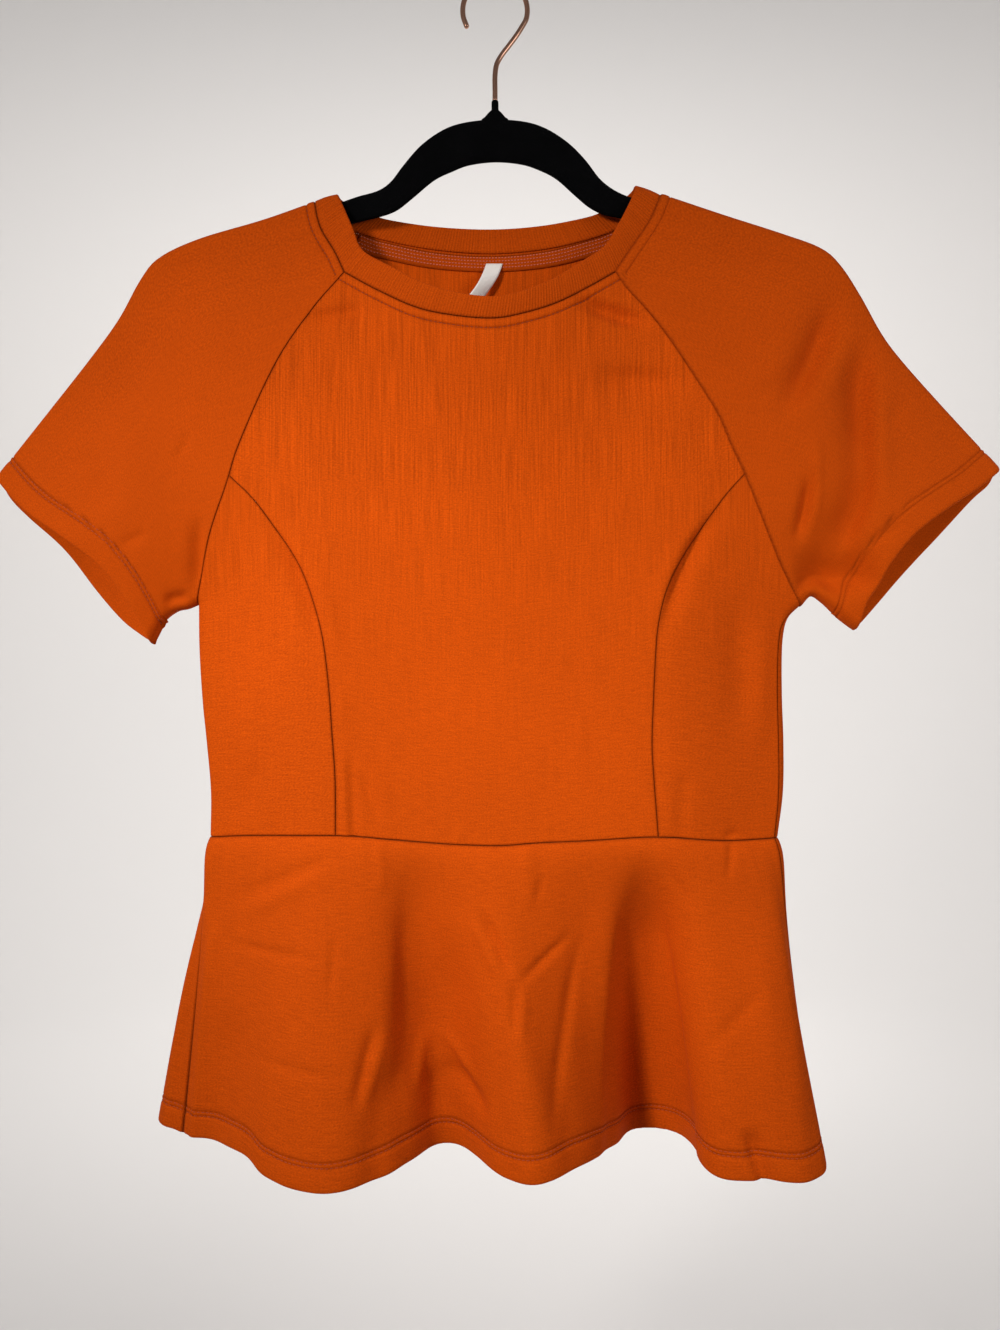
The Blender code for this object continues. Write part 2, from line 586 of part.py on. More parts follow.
def build_peplum(bodice, mat):
    """Flared skirt of two pieces whose folds grow from nothing at the waist."""
    waist, normals, hem, belly = [], [], [], []
    cells = []
    for key, rows, amount in (("waist_front", HEM_FRONT, BELLY_LEFT),
                              ("waist_back", HEM_BACK, -BELLY_RIGHT)):
        points, outward = bodice[key]
        share = shares(points)
        to_end = (1 - share) * np.linalg.norm(np.diff(points, axis=0), axis=1).sum()
        waist.append(points[:-1])
        normals.append(outward[:-1])
        hem.append(along(smooth(rows), share)[:-1])
        belly.append(amount * (ease(to_end / 16) * (1 - ease((to_end - 30) / 60)))[:-1])
        cells.append(len(points) - 1)
    waist, outward, hem = np.vstack(waist), np.vstack(normals), np.vstack(hem)
    waist = waist - np.array([0, 0, HALF_GAP])
    t = np.array(PEPLUM_STEPS)[:, None, None]
    grid = waist + (hem - waist) * t
    grid[..., 0] += np.concatenate(belly) * np.sin(math.pi * t[..., 0] ** 0.8)
    puff = t / 0.07 * np.exp(1 - t / 0.07)
    outward = outward * np.array([1, 1, 0])
    grid = grid + PEPLUM_PUFF * puff * outward
    normals = ring_normals(grid)
    normals[0] = outward / np.linalg.norm(outward, axis=-1, keepdims=True)
    inner = grid - WALL * normals
    closed = [np.concatenate([g, g[:, :1]], axis=1) for g in (grid, inner)]
    for name, start, count in (("peplum_front", 0, cells[0]), ("peplum_back", cells[0], cells[1])):
        outer_part, inner_part = (g[:, start:start + count + 1].copy() for g in closed)
        for part in (outer_part, inner_part):
            for edge, inside in ((0, 1), (-1, -2)):
                step = outer_part[:, inside] - outer_part[:, edge]
                part[:, edge] += step * (HALF_GAP / np.linalg.norm(step, axis=1))[:, None]
        add_wall(name, outer_part, inner_part, mat)


def tube(rings, centre_start, centre_end):
    """Points and faces of a tube of equal rings closed by a fan at each end."""
    count = len(rings[0])
    points = [point for ring in rings for point in ring] + [centre_start, centre_end]
    faces = []
    for j in range(len(rings) - 1):
        for k in range(count):
            k2 = (k + 1) % count
            faces.append((j * count + k, j * count + k2, (j + 1) * count + k2,
                          (j + 1) * count + k))
    first, last = len(points) - 2, len(points) - 1
    base = (len(rings) - 1) * count
    for k in range(count):
        k2 = (k + 1) % count
        faces.append((first, k2, k))
        faces.append((last, base + k, base + k2))
    return points, faces


def build_hanger(mat):
    """Slim arms and arch in one, with the boss that holds the hook."""
    turns = [2 * math.pi * k / 12 for k in range(12)]
    rings = []
    for index, (top_x, top_z, low_x, low_z) in enumerate(ARM_STATIONS):
        top, low = np.array([top_x, 0, top_z]), np.array([low_x, 0, low_z])
        thick = ARM_HALF * (0.6 if index in (0, len(ARM_STATIONS) - 1) else 1)
        mid, half = (top + low) / 2, (top - low) / 2
        ring = []
        for turn in turns:
            c, s = math.cos(turn), math.sin(turn)
            c = math.copysign(abs(c) ** 0.6, c)
            s = math.copysign(abs(s) ** 0.6, s)
            ring.append(mid + half * c + np.array([0, thick * s, 0]))
        rings.append(ring)
    ends = [np.mean(ring, axis=0) + np.array([push, 0, 0]) for ring, push in
            ((rings[0], -1.2), (rings[-1], 1.2))]
    points, faces = tube(rings, *ends)
    hanger = add_object("hanger_body", points, faces, mat)
    rings = []
    for z, half_x, half_y in BOSS:
        rings.append([np.array([half_x * math.cos(a), half_y * math.sin(a), z]) for a in
                      [2 * math.pi * k / 16 for k in range(16)]])
    points, faces = tube(rings, np.array([0, 0, BOSS[0][0]]), np.array([0, 0, BOSS[-1][0]]))
    boss = add_object("hanger_boss_tool", points, faces, mat)
    boss.hide_render = True
    boss.display_type = "WIRE"
    union = hanger.modifiers.new("boss", "BOOLEAN")
    union.operation = "UNION"
    union.solver = "EXACT"
    union.object = boss


def build_hook(mat):
    """Round wire: straight shank, a bend, then the open crook."""
    start, end = math.radians(CROOK_START), math.radians(CROOK_END)
    centre_z = WIRE_RADIUS - HOOK_RADIUS
    crook = [(HOOK_RADIUS * math.cos(a), centre_z + HOOK_RADIUS * math.sin(a))
             for a in np.linspace(start, end, 14)]
    dense = smooth(SHANK + crook)
    path = along(dense, even(44))
    run = np.gradient(path, axis=0)
    run /= np.linalg.norm(run, axis=1, keepdims=True)
    sizes = np.ones(len(path))
    path = np.vstack([path, path[-1] + run[-1] * 0.9, path[-1] + run[-1] * 1.5])
    run = np.vstack([run, run[-1:], run[-1:]])
    sizes = np.concatenate([sizes, [0.85, 0.45]])
    rings = []
    for (x, z), (dx, dz), size in zip(path, run, sizes):
        ring = []
        for k in range(10):
            a = 2 * math.pi * k / 10
            r = WIRE_RADIUS * size
            ring.append(np.array([x - dz * r * math.cos(a), r * math.sin(a),
                                  z + dx * r * math.cos(a)]))
        rings.append(ring)
    tip = np.array([path[-1, 0] + run[-1, 0] * 0.2, 0, path[-1, 1] + run[-1, 1] * 0.2])
    points, faces = tube(rings, np.array([path[0, 0], 0, path[0, 1]]), tip)
    add_object("hanger_hook", points, faces, mat)


def build_label(mat):
    """Small bare label hanging inside the back neck, curled to one side."""
    top, low = np.array([-0.5, 17.2, -177.0]), np.array([-13.5, 10.5, -203.0])
    outer, inner = [], []
    for t in even(6):
        turn = math.radians(50 * ease(1.3 * t))
        mid = top + (low - top) * t + np.array([2.0, -1.5, 0]) * math.sin(math.pi * t)
        across = np.array([math.cos(turn), math.sin(turn), 0])
        face = np.array([math.sin(turn), -math.cos(turn), 0])
        row = [mid + across * LABEL_WIDTH * share for share in (-0.5, 0, 0.5)]
        outer.append(row)
        inner.append([point - face * LABEL_WALL for point in row])
    add_wall("neck_label", np.array(outer), np.array(inner), mat)


def main():
    for obj in list(bpy.data.objects):
        bpy.data.objects.remove(obj, do_unlink=True)
    knit = material("knit_rust")
    bodice = build_bodice(knit)
    build_sleeve("sleeve_right", RIGHT, bodice["right"], knit)
    build_sleeve("sleeve_left", LEFT, bodice["left"], knit)
    build_neckband(bodice, knit)
    build_peplum(bodice, knit)
    build_hanger(material("hanger_flock"))
    build_hook(material("hook_wire"))
    build_label(material("label_white"))


main()
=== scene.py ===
"""The finished look of the peplum top on its hanger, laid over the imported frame.

Each cut piece is a thin knitted shell on the form of its solid, with the folds the cloth
hangs in, rolled seams, turned hems and their stitching. Tables are in millimetres; the
front faces -Y and the wearer's left is +X.
"""

import math

import bmesh
import bpy
import numpy as np
from bpy.props import FloatProperty, FloatVectorProperty, PointerProperty
from mathutils import Matrix, Vector


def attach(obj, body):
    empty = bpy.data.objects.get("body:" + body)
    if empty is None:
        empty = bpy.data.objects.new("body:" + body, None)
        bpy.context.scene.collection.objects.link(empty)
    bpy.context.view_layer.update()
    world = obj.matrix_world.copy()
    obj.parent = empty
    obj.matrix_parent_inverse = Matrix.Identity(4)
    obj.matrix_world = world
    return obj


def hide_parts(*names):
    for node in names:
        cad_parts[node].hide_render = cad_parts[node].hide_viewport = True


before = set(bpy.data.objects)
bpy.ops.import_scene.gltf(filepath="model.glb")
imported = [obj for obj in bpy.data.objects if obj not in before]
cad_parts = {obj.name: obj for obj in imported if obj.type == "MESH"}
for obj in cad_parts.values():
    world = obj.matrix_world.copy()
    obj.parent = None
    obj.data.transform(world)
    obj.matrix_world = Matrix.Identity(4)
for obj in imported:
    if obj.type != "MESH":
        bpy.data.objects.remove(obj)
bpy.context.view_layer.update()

bl_info = {
    "name": "Peplum Top on a Hanger",
    "version": (1, 0, 0),
    "blender": (4, 5, 0),
    "location": "View3D > Sidebar > Garment",
    "description": "Knitted raglan top with a flared frill, hung on a slim flocked hanger",
    "category": "Add Mesh",
}

MM = 0.001
FOLD_RADIUS = 5.5
FOLD_REACH = 80.0
BAND_PUFF = 0.6
BAND_TURN = 16.0
TURNED_ROWS = 7
TOPSTITCH_TOP = -149.0
FRILL_LENGTH = 198.0
FRILL_PUFF = 2.5
BELLY_LEFT = 4.0
BELLY_RIGHT = 7.0

# Half depth of the front and back sheets: height z, then at the centre, at the
# princess line (100 out) and at the side (170 out).
FRONT_DEPTH = [
    (-140, 20, 11, 9), (-170, 26, 13, 11), (-200, 30, 17, 15), (-230, 31, 21, 17),
    (-300, 28, 23, 19), (-380, 28, 27, 21), (-435, 28, 29, 23), (-500, 27, 27, 22),
    (-560, 26, 24, 19),
]
BACK_DEPTH = [
    (-140, 14, 9, 8), (-172, 20, 12, 10), (-230, 19, 15, 14), (-300, 17, 16, 16),
    (-380, 18, 18, 17), (-435, 20, 20, 18), (-500, 20, 20, 18), (-560, 20, 19, 16),
]

# Seams and folds of each side as (x, z), from the neck outward or downward.
RIGHT = {
    "shoulder": [(-117, -143.9), (-150.2, -155.6), (-191.8, -168), (-217.8, -180.3),
                 (-230.1, -194.6), (-244.4, -220.6), (-263.2, -246.6),
                 (-293.8, -285.6), (-323.7, -323.3)],
    "underarm": [(-192.4, -405.8), (-198.9, -408.5), (-206.7, -410.5),
                 (-215.2, -417.5), (-222.7, -431.2)],
    "side": [(-192.4, -405.8), (-192, -435), (-190, -468), (-187.4, -494),
             (-184.6, -526.5), (-184.8, -556)],
    "raglan_front": [(-95.9, -194.8), (-109.1, -211.2), (-121.6, -228), (-134.6, -247),
                     (-145.8, -268), (-155.6, -290), (-163.6, -309.8), (-168.1, -325)],
    "raglan_under": [(-168.1, -325), (-171.5, -335.7), (-180, -358.8), (-184.8, -375),
                     (-189.5, -392), (-192.4, -405.8)],
    "princess": [(-168.1, -325), (-153.1, -339.4), (-140.7, -355.6), (-122, -384),
                 (-111.1, -413.6), (-106.2, -435), (-103.3, -461), (-101.5, -488.5),
                 (-99.8, -517), (-99.9, -552)],
    "neck_front": [(-117, -143.9), (-112.4, -163), (-102.2, -181), (-95.9, -194.8)],
    "neck_back": [(-117, -143.9), (-105, -154.5), (-91, -161), (-78, -165.5)],
    "raglan_back": [(-78, -165.5), (-98, -192), (-122, -228), (-143, -268),
                    (-160, -310), (-174, -350), (-186, -385), (-192.4, -405.8)],
    "cuff_front": [(-222.7, -431.2), (-226.5, -421), (-231, -411), (-238, -399),
                   (-252, -381), (-271.7, -365.4), (-293.7, -351), (-308, -339.5),
                   (-323.7, -323.3)],
    "cuff_back": [(-222.7, -431.2), (-234, -424.5), (-247.5, -414.5), (-265.5, -395),
                  (-286.7, -368), (-307.6, -348), (-319, -335), (-323.7, -323.3)],
}
LEFT = {
    "shoulder": [(107.9, -140), (148.8, -153.7), (185.2, -165.4), (211.2, -175.1),
                 (224.2, -186.8), (237.2, -207), (250.2, -230.4), (263.2, -247.9),
                 (289.2, -277.2), (326.9, -318.1)],
    "underarm": [(197.9, -406.5), (205, -399.5), (212.9, -403.9), (222, -412.5),
                 (233.7, -421.5)],
    "side": [(197.9, -406.5), (190.5, -414), (187.5, -424), (186.4, -440),
             (186.6, -468), (187.5, -494), (187.2, -526.5), (183.5, -556.6)],
    "raglan_front": [(76.7, -195.5), (84.5, -206.9), (98.4, -223), (112.2, -241.6),
                     (123.6, -258.5), (133.5, -273.6), (142, -287.6), (149, -304.3),
                     (158.2, -323.8)],
    "raglan_under": [(158.2, -323.8), (168.4, -349.2), (179.7, -375), (187.4, -389.3),
                     (197.9, -406.5)],
    "princess": [(158.2, -323.8), (145.8, -337.5), (129.3, -360), (114.8, -382),
                 (106.7, -400), (102.2, -418.8), (100.5, -435.6), (99.1, -467),
                 (98.4, -496), (100.5, -525), (102.7, -553)],
    "neck_front": [(107.9, -140), (100.3, -158.3), (88.2, -177.4), (76.7, -195.5)],
    "neck_back": [(107.9, -140), (96, -151), (83, -158), (70, -163)],
    "raglan_back": [(70, -163), (90, -191), (114, -228), (136, -268), (155, -310),
                    (172, -350), (187, -386), (197.9, -406.5)],
    "cuff_front": [(233.7, -421.5), (236, -412), (238.5, -403), (243.9, -394),
                   (251.4, -379), (266.8, -360), (292, -342), (309, -331.5),
                   (326.9, -318.1)],
    "cuff_back": [(233.7, -421.5), (241, -415.3), (253.8, -402), (266.2, -388.5),
                  (291.2, -361.8), (313.3, -336), (323, -326.5), (326.9, -318.1)],
}
# The left side seam lies this far round on the front of the fold: z, distance.
LEFT_WRAP = [(-406.5, 0.6), (-421, 3.6), (-461, 4.4), (-494, 4.7), (-525, 4.3), (-557, 2.9)]

NECK_FRONT = [(-95.9, -194.8), (-73, -208.8), (-48.6, -221.2), (-24.7, -227.3), (-1, -229.5),
              (18, -226), (38.8, -218.6), (58.8, -207.2), (76.7, -195.5)]
NECK_BACK = [(-78, -165.5), (-42, -170.8), (-3.5, -172.3), (35, -169.8), (70, -163)]
WAIST_FRONT = [(-184.8, -556), (-151.3, -553.5), (-99.9, -552), (-63.1, -554.6), (-28.6, -557.1),
               (3.2, -558), (25.1, -556.5), (59.6, -555.1), (102.7, -553), (147.4, -556.7),
               (180.6, -556.5)]
WAIST_BACK = [(-184.8, -556), (-120, -556), (0, -556.5), (120, -556), (186.4, -556.6)]

# Upper edge of the neckband as (x, y, z), once round from the right shoulder by the front.
BAND_EDGE = {
    "front right": [(-102, 0, -138.7), (-101, -5, -142), (-97.5, -8.5, -150), (-91, -13, -165.5)],
    "front": [(-83.8, -17, -181.6), (-64, -22.5, -194.5), (-43.6, -28, -206.5),
              (-22, -31.5, -213.8), (0, -33, -216.5), (17, -32, -212.8), (35.5, -29, -204.4),
              (53, -24, -192.2)],
    "front left": [(69, -18, -179.5), (79, -13, -163), (87, -8.5, -146.5), (90.4, -5, -137.5)],
    "back left": [(91, 0, -132.9), (89.5, 5, -134.8), (82, 8.5, -140.5), (72, 11.5, -145)],
    "back": [(60, 13.5, -148.6), (30, 17.5, -152.4), (-3.4, 19, -154), (-38, 18, -153)],
    "back right": [(-68, 14, -150.5), (-82, 11.5, -147.5), (-93, 8.5, -143.8), (-100.5, 5, -140.2)],
}

# Hem of the frill as (x, y, z) from the right side seam by the front to the left seam,
# then by the back to the right seam again.
HEM_FRONT = [(-201.5, -6, -747), (-158, -30, -748.7), (-138.7, -45, -756.5), (-103.3, -57, -760.4),
             (-69, -48, -757), (-52.5, -31, -753.6), (-34.9, -15, -752.1), (-15.5, -26, -753.7),
             (6.3, -46, -756.5), (27, -55, -755.7), (52.5, -34, -753.5), (77.5, -5, -756.5),
             (101, 6, -761.5), (111.5, -3, -759.5), (117.5, -26, -756), (137, -42, -759),
             (166.3, -46.5, -758), (188, -46, -759.3), (201.5, -40, -758), (206.5, -29, -756),
             (204.5, -14, -754)]
HEM_BACK = [(204.5, -14, -754), (196, 12, -752), (172, 32, -754), (141, 49, -757), (111, 48, -757),
            (82, 29, -753), (55, 14, -751), (26, 22, -753), (-4, 46, -757), (-35, 55, -758),
            (-64, 43, -756), (-89, 20, -752), (-114, 13, -751), (-139, 28, -754),
            (-165, 45, -757), (-192, 43, -756), (-213, 29, -751), (-222, 12, -745),
            (-216, -1, -744.5), (-201.5, -6, -747)]

# Hanger arms and arch: upper edge (x, z) and lower edge (x, z) of each station.
ARM_STATIONS = [
    (-217.5, -188, -217, -192.5), (-212, -183, -211, -194.5), (-200, -177, -200, -189.5),
    (-184, -171, -185, -184), (-150, -160, -151, -172.5), (-130, -153, -131, -166),
    (-117, -148.3, -116, -162.3), (-100.8, -144.4, -97, -158.6), (-89, -140.4, -86, -156),
    (-76.2, -136.7, -74, -153), (-67.8, -130.9, -64, -149.2), (-59.3, -119.8, -54, -141.5),
    (-48.1, -107.1, -39.6, -129.6), (-33.9, -97.1, -28.3, -124.1), (-19.8, -92.3, -17, -119.8),
    (0, -90.3, 0, -117.7), (19.8, -91.8, 17, -119.2), (33.9, -96.5, 28.3, -122.8),
    (47.8, -105.6, 39.6, -128.6), (59.1, -117, 52, -139.5), (67.6, -128.3, 61, -147),
    (76, -135.3, 71, -152), (85.8, -140.2, 83.1, -154.3), (96, -142.6, 94, -156.4),
    (107.9, -144.6, 107.5, -158.4), (124, -150.2, 124, -163.4), (148.8, -158, 149, -170.5),
    (180, -168, 181, -181), (196, -173.6, 197, -186.5), (209, -179.6, 208.5, -191),
    (215, -184, 214, -189.5),
]
ARM_HALF = 2.5
# Boss and sleeve that hold the hook: height, half width, half depth.
BOSS = [(-98, 7.5, 1.9), (-91, 9, 2.7), (-88.7, 6.8, 2.9), (-86, 4.4, 2.9), (-84.6, 2.8, 2.6),
        (-84, 2.35, 2.35), (-78.9, 2.25, 2.25), (-78.6, 1.9, 1.9)]
WIRE_RADIUS = 1.7
HOOK_RADIUS = 21.0
# Shank of the hook (x, z) from the boss up to where the round crook begins.
SHANK = [(0, -78.2), (0, -70), (0, -62), (1, -54.5), (4.2, -48.4), (8.9, -42.2), (13.8, -35.6),
         (18, -29)]
CROOK_START = -14.0
CROOK_END = 208.0

LABEL_TOP = (-0.5, 17.2, -177.0)
LABEL_LOW = (-13.5, 10.5, -203.0)
LABEL_WIDTH = 11.0
LABEL_TURN = 34
LABEL_WALL = 0.00045

# The strip over the back neck seam: its ends as shares of the seam, its rows below the seam,
# how far inside the back it lies, and each row of its stitches (distance down, start, width).
COVER_ENDS = (0.14, 0.86)
COVER_RISE = (0.2, 0.5, 2.5, 5.0, 7.5, 10.0)
COVER_INSIDE = 1.25
COVER_WALL = 0.0006
COVER_PITCH = 2.1
COVER_STITCHES = ((0.9, 0.4, 1.5), (3.0, 1.2, 1.3), (5.2, 0.2, 1.3), (7.4, 1.0, 1.4))

# Places in metres: the camera, and each light with its aim, disk size and spread in degrees.
CAMERA_PLACE = (0.00325, -0.673, -0.4449)
KEY_LIGHT = ((-0.66, -0.82, -0.04), (0.06, 0, -0.56), 0.2, 60)
FILL_LIGHT = ((0.74, -0.64, -0.24), (0.17, 0, -0.42), 0.5, 100)
BACKDROP_LIGHT = ((0, 1.0, 1.2), (0, 3.8, -0.4), 1.6, 180)

# Folds in the cloth. Columns: start x and z, end x and z, bow to the +X side, width on the
# +X side, width on the -X side, height (below 0 is a trough), and how its ends run out:
# 0 both fade, 1 open at the end, 2 open at the start, 3 open at both. A level fold counts
# the side above it as its +X side.
FRONT_FOLDS = [
    (-124, -226, -78, -220, 0, 4, 6, -3.2, 0),
    (-107, -214, -70, -225, 0, 6, 7, -1.0, 0),
    (46, -214, 102, -231, 0, 5, 6, -7.0, 0),
    (56, -262, 126, -267, 0, 7, 9, -4.6, 0),
    (-149, -346, -106.5, -445, 7, 2.8, 7, -4.2, 0),
    (-139, -345, -97, -448, 8, 7, 3.5, 1.6, 0),
    (147, -338, 104, -434, -8, 7, 2.8, -4.2, 0),
    (137, -341, 98, -430, -8, 3.5, 7, 1.4, 0),
    (-95.2, -489, -93.3, -552, 0, 2.2, 2.2, 1.0, 1),
    (-89.5, -494, -88, -552, 0, 2.6, 2.6, -1.1, 1),
    (-87, -508, -69, -547, 0, 2.6, 3.2, -1.5, 0),
    (-80, -503, -62, -541, 1, 2.8, 2.4, 0.9, 0),
    (-96, -454, -94, -487, 0, 2.4, 2.4, 0.6, 0),
    (43, -437, 57, -465, 1, 3, 2.4, -1.2, 0),
    (56, -430, 65, -458, 0, 2.2, 2.2, 0.6, 0),
    (30, -338, 36, -374, 0, 2.6, 2.6, 0.6, 0),
    (47, -333, 50, -360, 0, 2.4, 2.4, 0.5, 0),
    (52, -470, 56, -500, 0, 2.6, 2.6, 0.6, 0),
    (95, -505, 109, -546, 0, 3, 3, -0.9, 0),
    (151, -388, 156, -498, 2, 12, 10, -1.8, 0),
    (172, -400, 170, -505, 0, 7, 9, 1.4, 0),
    (120, -505, 116, -551, 0, 6, 6, -1.1, 1),
    (-150, -500, -166, -548, 0, 8, 6, -1.2, 0),
    (-168, -420, -150, -520, 4, 9, 12, 1.0, 0),
    (144, -554.5, 158, -551, 0, 2, 2, -1.4, 0),
    (-62, -545, -60, -556, 0, 3, 3, -0.6, 1),
    (-22, -546, -24, -558, 0, 3.2, 3.2, 0.5, 1),
    (36, -545, 38, -557, 0, 3, 3, -0.5, 1),
    (79, -543, 82, -555, 0, 3, 3, 0.5, 1),
    (223, -200, 176, -294, 5, 6, 11, -9.5, 0),
    (232, -215, 196, -290, 6, 7, 7, 1.6, 0),
    (238, -230, 232, -334, 2, 5, 15, -11.0, 0),
    (238, -304, 214, -380, 6, 6, 15, -10.0, 0),
    (246, -262, 241, -352, 1, 7, 5, 1.6, 0),
    (203, -292, 201, -366, 1, 4, 4, 1.8, 0),
    (201, -318, 190, -372, 1, 4, 4.5, -5.0, 0),
    (188, -393, 250, -387, 0, 22, 9, -11.0, 0),
    (268, -268, 243, -303, 0, 4, 5, -1.3, 0),
    (189, -258, 158, -281, 0, 4, 5, -1.0, 0),
    (279, -297, 308, -305, -1, 3, 4, -1.3, 0),
    (234, -372, 262, -352, 0, 4, 4, -1.4, 0),
    (-232, -225, -241, -292, 0, 13, 12, -2.6, 0),
    (-246, -268, -216, -350, -4, 12, 12, 1.4, 0),
    (-203, -320, -191, -295, 0, 3.4, 3.4, -1.0, 0),
    (-240, -370, -218, -360, 0, 3.4, 3.4, -1.1, 0),
    (-282, -314, -246, -318, 0, 4, 4, -0.9, 0),
    (-258, -318, -240, -352, 0, 8, 9, -1.5, 0),
    (-195, -222, -182, -204, 0, 3.4, 3.4, -0.8, 0),
    (-187, -346, -191.5, -405, 0, 3, 5.5, -3.2, 0),
    (-214, -406, -194, -402, 0, 4.5, 4.5, -4.5, 0),
    (-113.5, -171, -100.5, -188, -1, 2, 2.8, -1.3, 0),
    (-109, -176, -97, -193, -1, 2, 2, 0.6, 0),
    (-275, -325, -252, -378, 0, 9, 10, -1.0, 1),
]
BACK_FOLDS = [
    (2, -415, 8, -553, 3, 10, 10, -1.7, 1),
    (-62, -440, -52, -553, -2, 8, 9, 1.1, 1),
    (60, -452, 50, -553, 2, 9, 8, -1.3, 1),
    (-118, -450, -110, -550, 0, 9, 9, -1.2, 1),
    (122, -445, 116, -553, 0, 9, 9, 1.0, 1),
    (-130, -262, -92, -338, -3, 9, 9, -1.2, 0),
    (124, -266, 90, -340, 3, 9, 9, -1.3, 0),
    (-45, -178, 38, -180, -3, 5, 6, -0.7, 0),
    (-160, -330, -150, -430, 4, 8, 10, -1.2, 0),
    (160, -335, 152, -430, -4, 10, 8, -1.1, 0),
    (-40, -290, -34, -420, 0, 5, 5, -0.5, 0),
    (36, -300, 30, -410, 0, 5, 5, -0.45, 0),
    (-228, -232, -198, -330, -4, 11, 10, -2.3, 0),
    (-205, -215, -180, -290, -3, 9, 9, 1.2, 0),
    (-262, -300, -236, -388, -3, 10, 10, 1.6, 0),
    (232, -240, 206, -335, 4, 10, 11, -2.5, 0),
    (208, -220, 184, -300, 3, 9, 9, 1.3, 0),
    (264, -300, 240, -385, 3, 10, 10, 1.6, 0),
    (-70, -545, -72, -556, 0, 3, 3, -0.4, 1),
    (30, -545, 28, -556, 0, 3, 3, 0.4, 1),
    (140, -545, 143, -556, 0, 3, 3, -0.4, 1),
]
FRILL_FRONT_FOLDS = [
    (97, -554, 100, -735, -3, 23, 14, -21.0, 1),
    (86, -560, 65, -735, -5, 6, 14, 3.0, 1),
    (-53, -552, -52, -728, 0, 26, 11, -6.0, 0),
    (-65, -585, -63, -720, 0, 5, 8, 1.5, 0),
    (-32, -600, -27, -735, 0, 18, 14, -6.5, 1),
    (-66, -684, -71, -757, 0, 11, 12, -4.5, 1),
    (-72, -660, -86, -722, 0, 2.6, 4.2, -2.8, 0),
    (-66, -664, -79, -722, 0, 3, 3, 1.0, 0),
    (-42, -672, -48, -716, 0, 3.2, 3, 2.0, 0),
    (-42, -674, -12, -712, 2, 3, 3, 2.0, 0),
    (-36, -696, -4, -728, 2, 6, 5, -3.8, 0),
    (-38, -694, -36, -738, 0, 5, 5, -2.6, 0),
    (-11, -594, 12.7, -643, 1, 2.8, 2.6, -2.8, 0),
    (-18, -600, 6, -646, 1, 3, 3.4, 1.3, 0),
    (51, -611, 11, -644, 0, 2.6, 2.6, -1.7, 0),
    (12.7, -634, 11.6, -678, 0, 2.6, 3, -1.7, 0),
    (18, -640, 17, -676, 0, 3, 3, 1.0, 0),
    (4, -650, 34, -742, 3, 8, 8, 1.6, 1),
    (57, -604, 34, -738, -2, 2.8, 4.4, -1.9, 0),
    (47, -640, 50, -735, 0, 9, 9, 1.2, 1),
    (30, -575, 26, -594, 0, 2.4, 2.4, -0.9, 0),
    (-178, -621, -101, -627, 0, 2.4, 3, -1.3, 0),
    (-176, -598, -86, -558, 0, 4.5, 4.5, -1.2, 0),
    (-170, -608, -96, -570, 0, 5, 5, 1.0, 0),
    (-156, -687, -82, -697, 0, 3, 3, -1.0, 0),
    (-99, -608, -101, -654, 0, 2.6, 2.6, -1.2, 0),
    (-166, -654, -180, -742, 2, 11, 9, -3.0, 1),
    (-178, -590, -192, -730, -1, 5, 4, 2.4, 1),
    (-120, -600, -124, -745, 0, 10, 10, 1.2, 1),
    (152, -726, 164, -762, 0, 7.5, 2.8, -4.6, 1),
    (124, -690, 173, -640, 0, 4.5, 4.5, -1.0, 0),
    (104, -566, 126, -600, 0, 3, 3, -0.9, 2),
    (188, -585, 197, -738, 2, 6, 7, -1.6, 1),
    (166, -600, 172, -720, 0, 10, 10, 1.2, 0),
    (150, -561, 147, -580, 0, 2.6, 2.6, -1.3, 2),
    (20, -566, 22, -600, 0, 5, 5, 0.9, 2),
    (-72, -564, -70, -590, 0, 4, 4, 0.9, 2),
]
FRILL_BACK_FOLDS = [
    (-100, -560, -104, -728, 2, 8, 9, -2.4, 2),
    (60, -560, 56, -728, -2, 9, 8, -2.2, 2),
    (-52, -600, -44, -742, 0, 8, 8, 1.2, 1),
    (18, -640, 14, -742, 0, 4, 3, -1.2, 1),
    (-78, -690, -66, -724, 0, 2, 2.4, -1.1, 0),
    (84, -676, 96, -716, 0, 2.4, 2, -1.0, 0),
    (128, -590, 134, -742, 2, 12, 12, 1.1, 1),
    (-150, -590, -160, -742, 0, 12, 12, 1.1, 1),
    (-186, -600, -206, -736, 0, 6, 6, -1.4, 1),
    (178, -600, 188, -738, 0, 6, 6, -1.3, 1),
    (-20, -566, -22, -600, 0, 5, 5, 0.7, 2),
    (100, -566, 101, -598, 0, 5, 5, 0.6, 2),
]

# Distances in from an end of a row of cells, for a rolled seam, the topstitched neck, a fold
# and a turned hem.
SEAM_STEPS = (0, 0.25, 0.55, 0.95, 1.8, 3.2)
NECK_STEPS = (0, 0.25, 0.55, 0.95, 1.8, 3.0, 4.0, 4.6, 5.2, 5.8, 6.4, 7.0, 7.6, 8.4)
FOLD_STEPS = (0, 0.19, 0.74, 1.61, 2.75, 4.08, 5.5, 7.6)
HEM_STEPS = (0, 1.1, 2.4, 4.5, 7.5, 10.5, 12.8, 13.7, 14.5, 15.2, 16, 16.8, 17.5, 18.3, 19.5, 22)
# The same for a fold or seam that isn't rolled, the start of a side front, and the lapped waist.
NEAR_STEPS = (0, 0.6)
TIP_STEPS = (0, 0.25, 0.6, 1.2)
LAP_STEPS = (0, 0.4, 1, 2, 3.4)
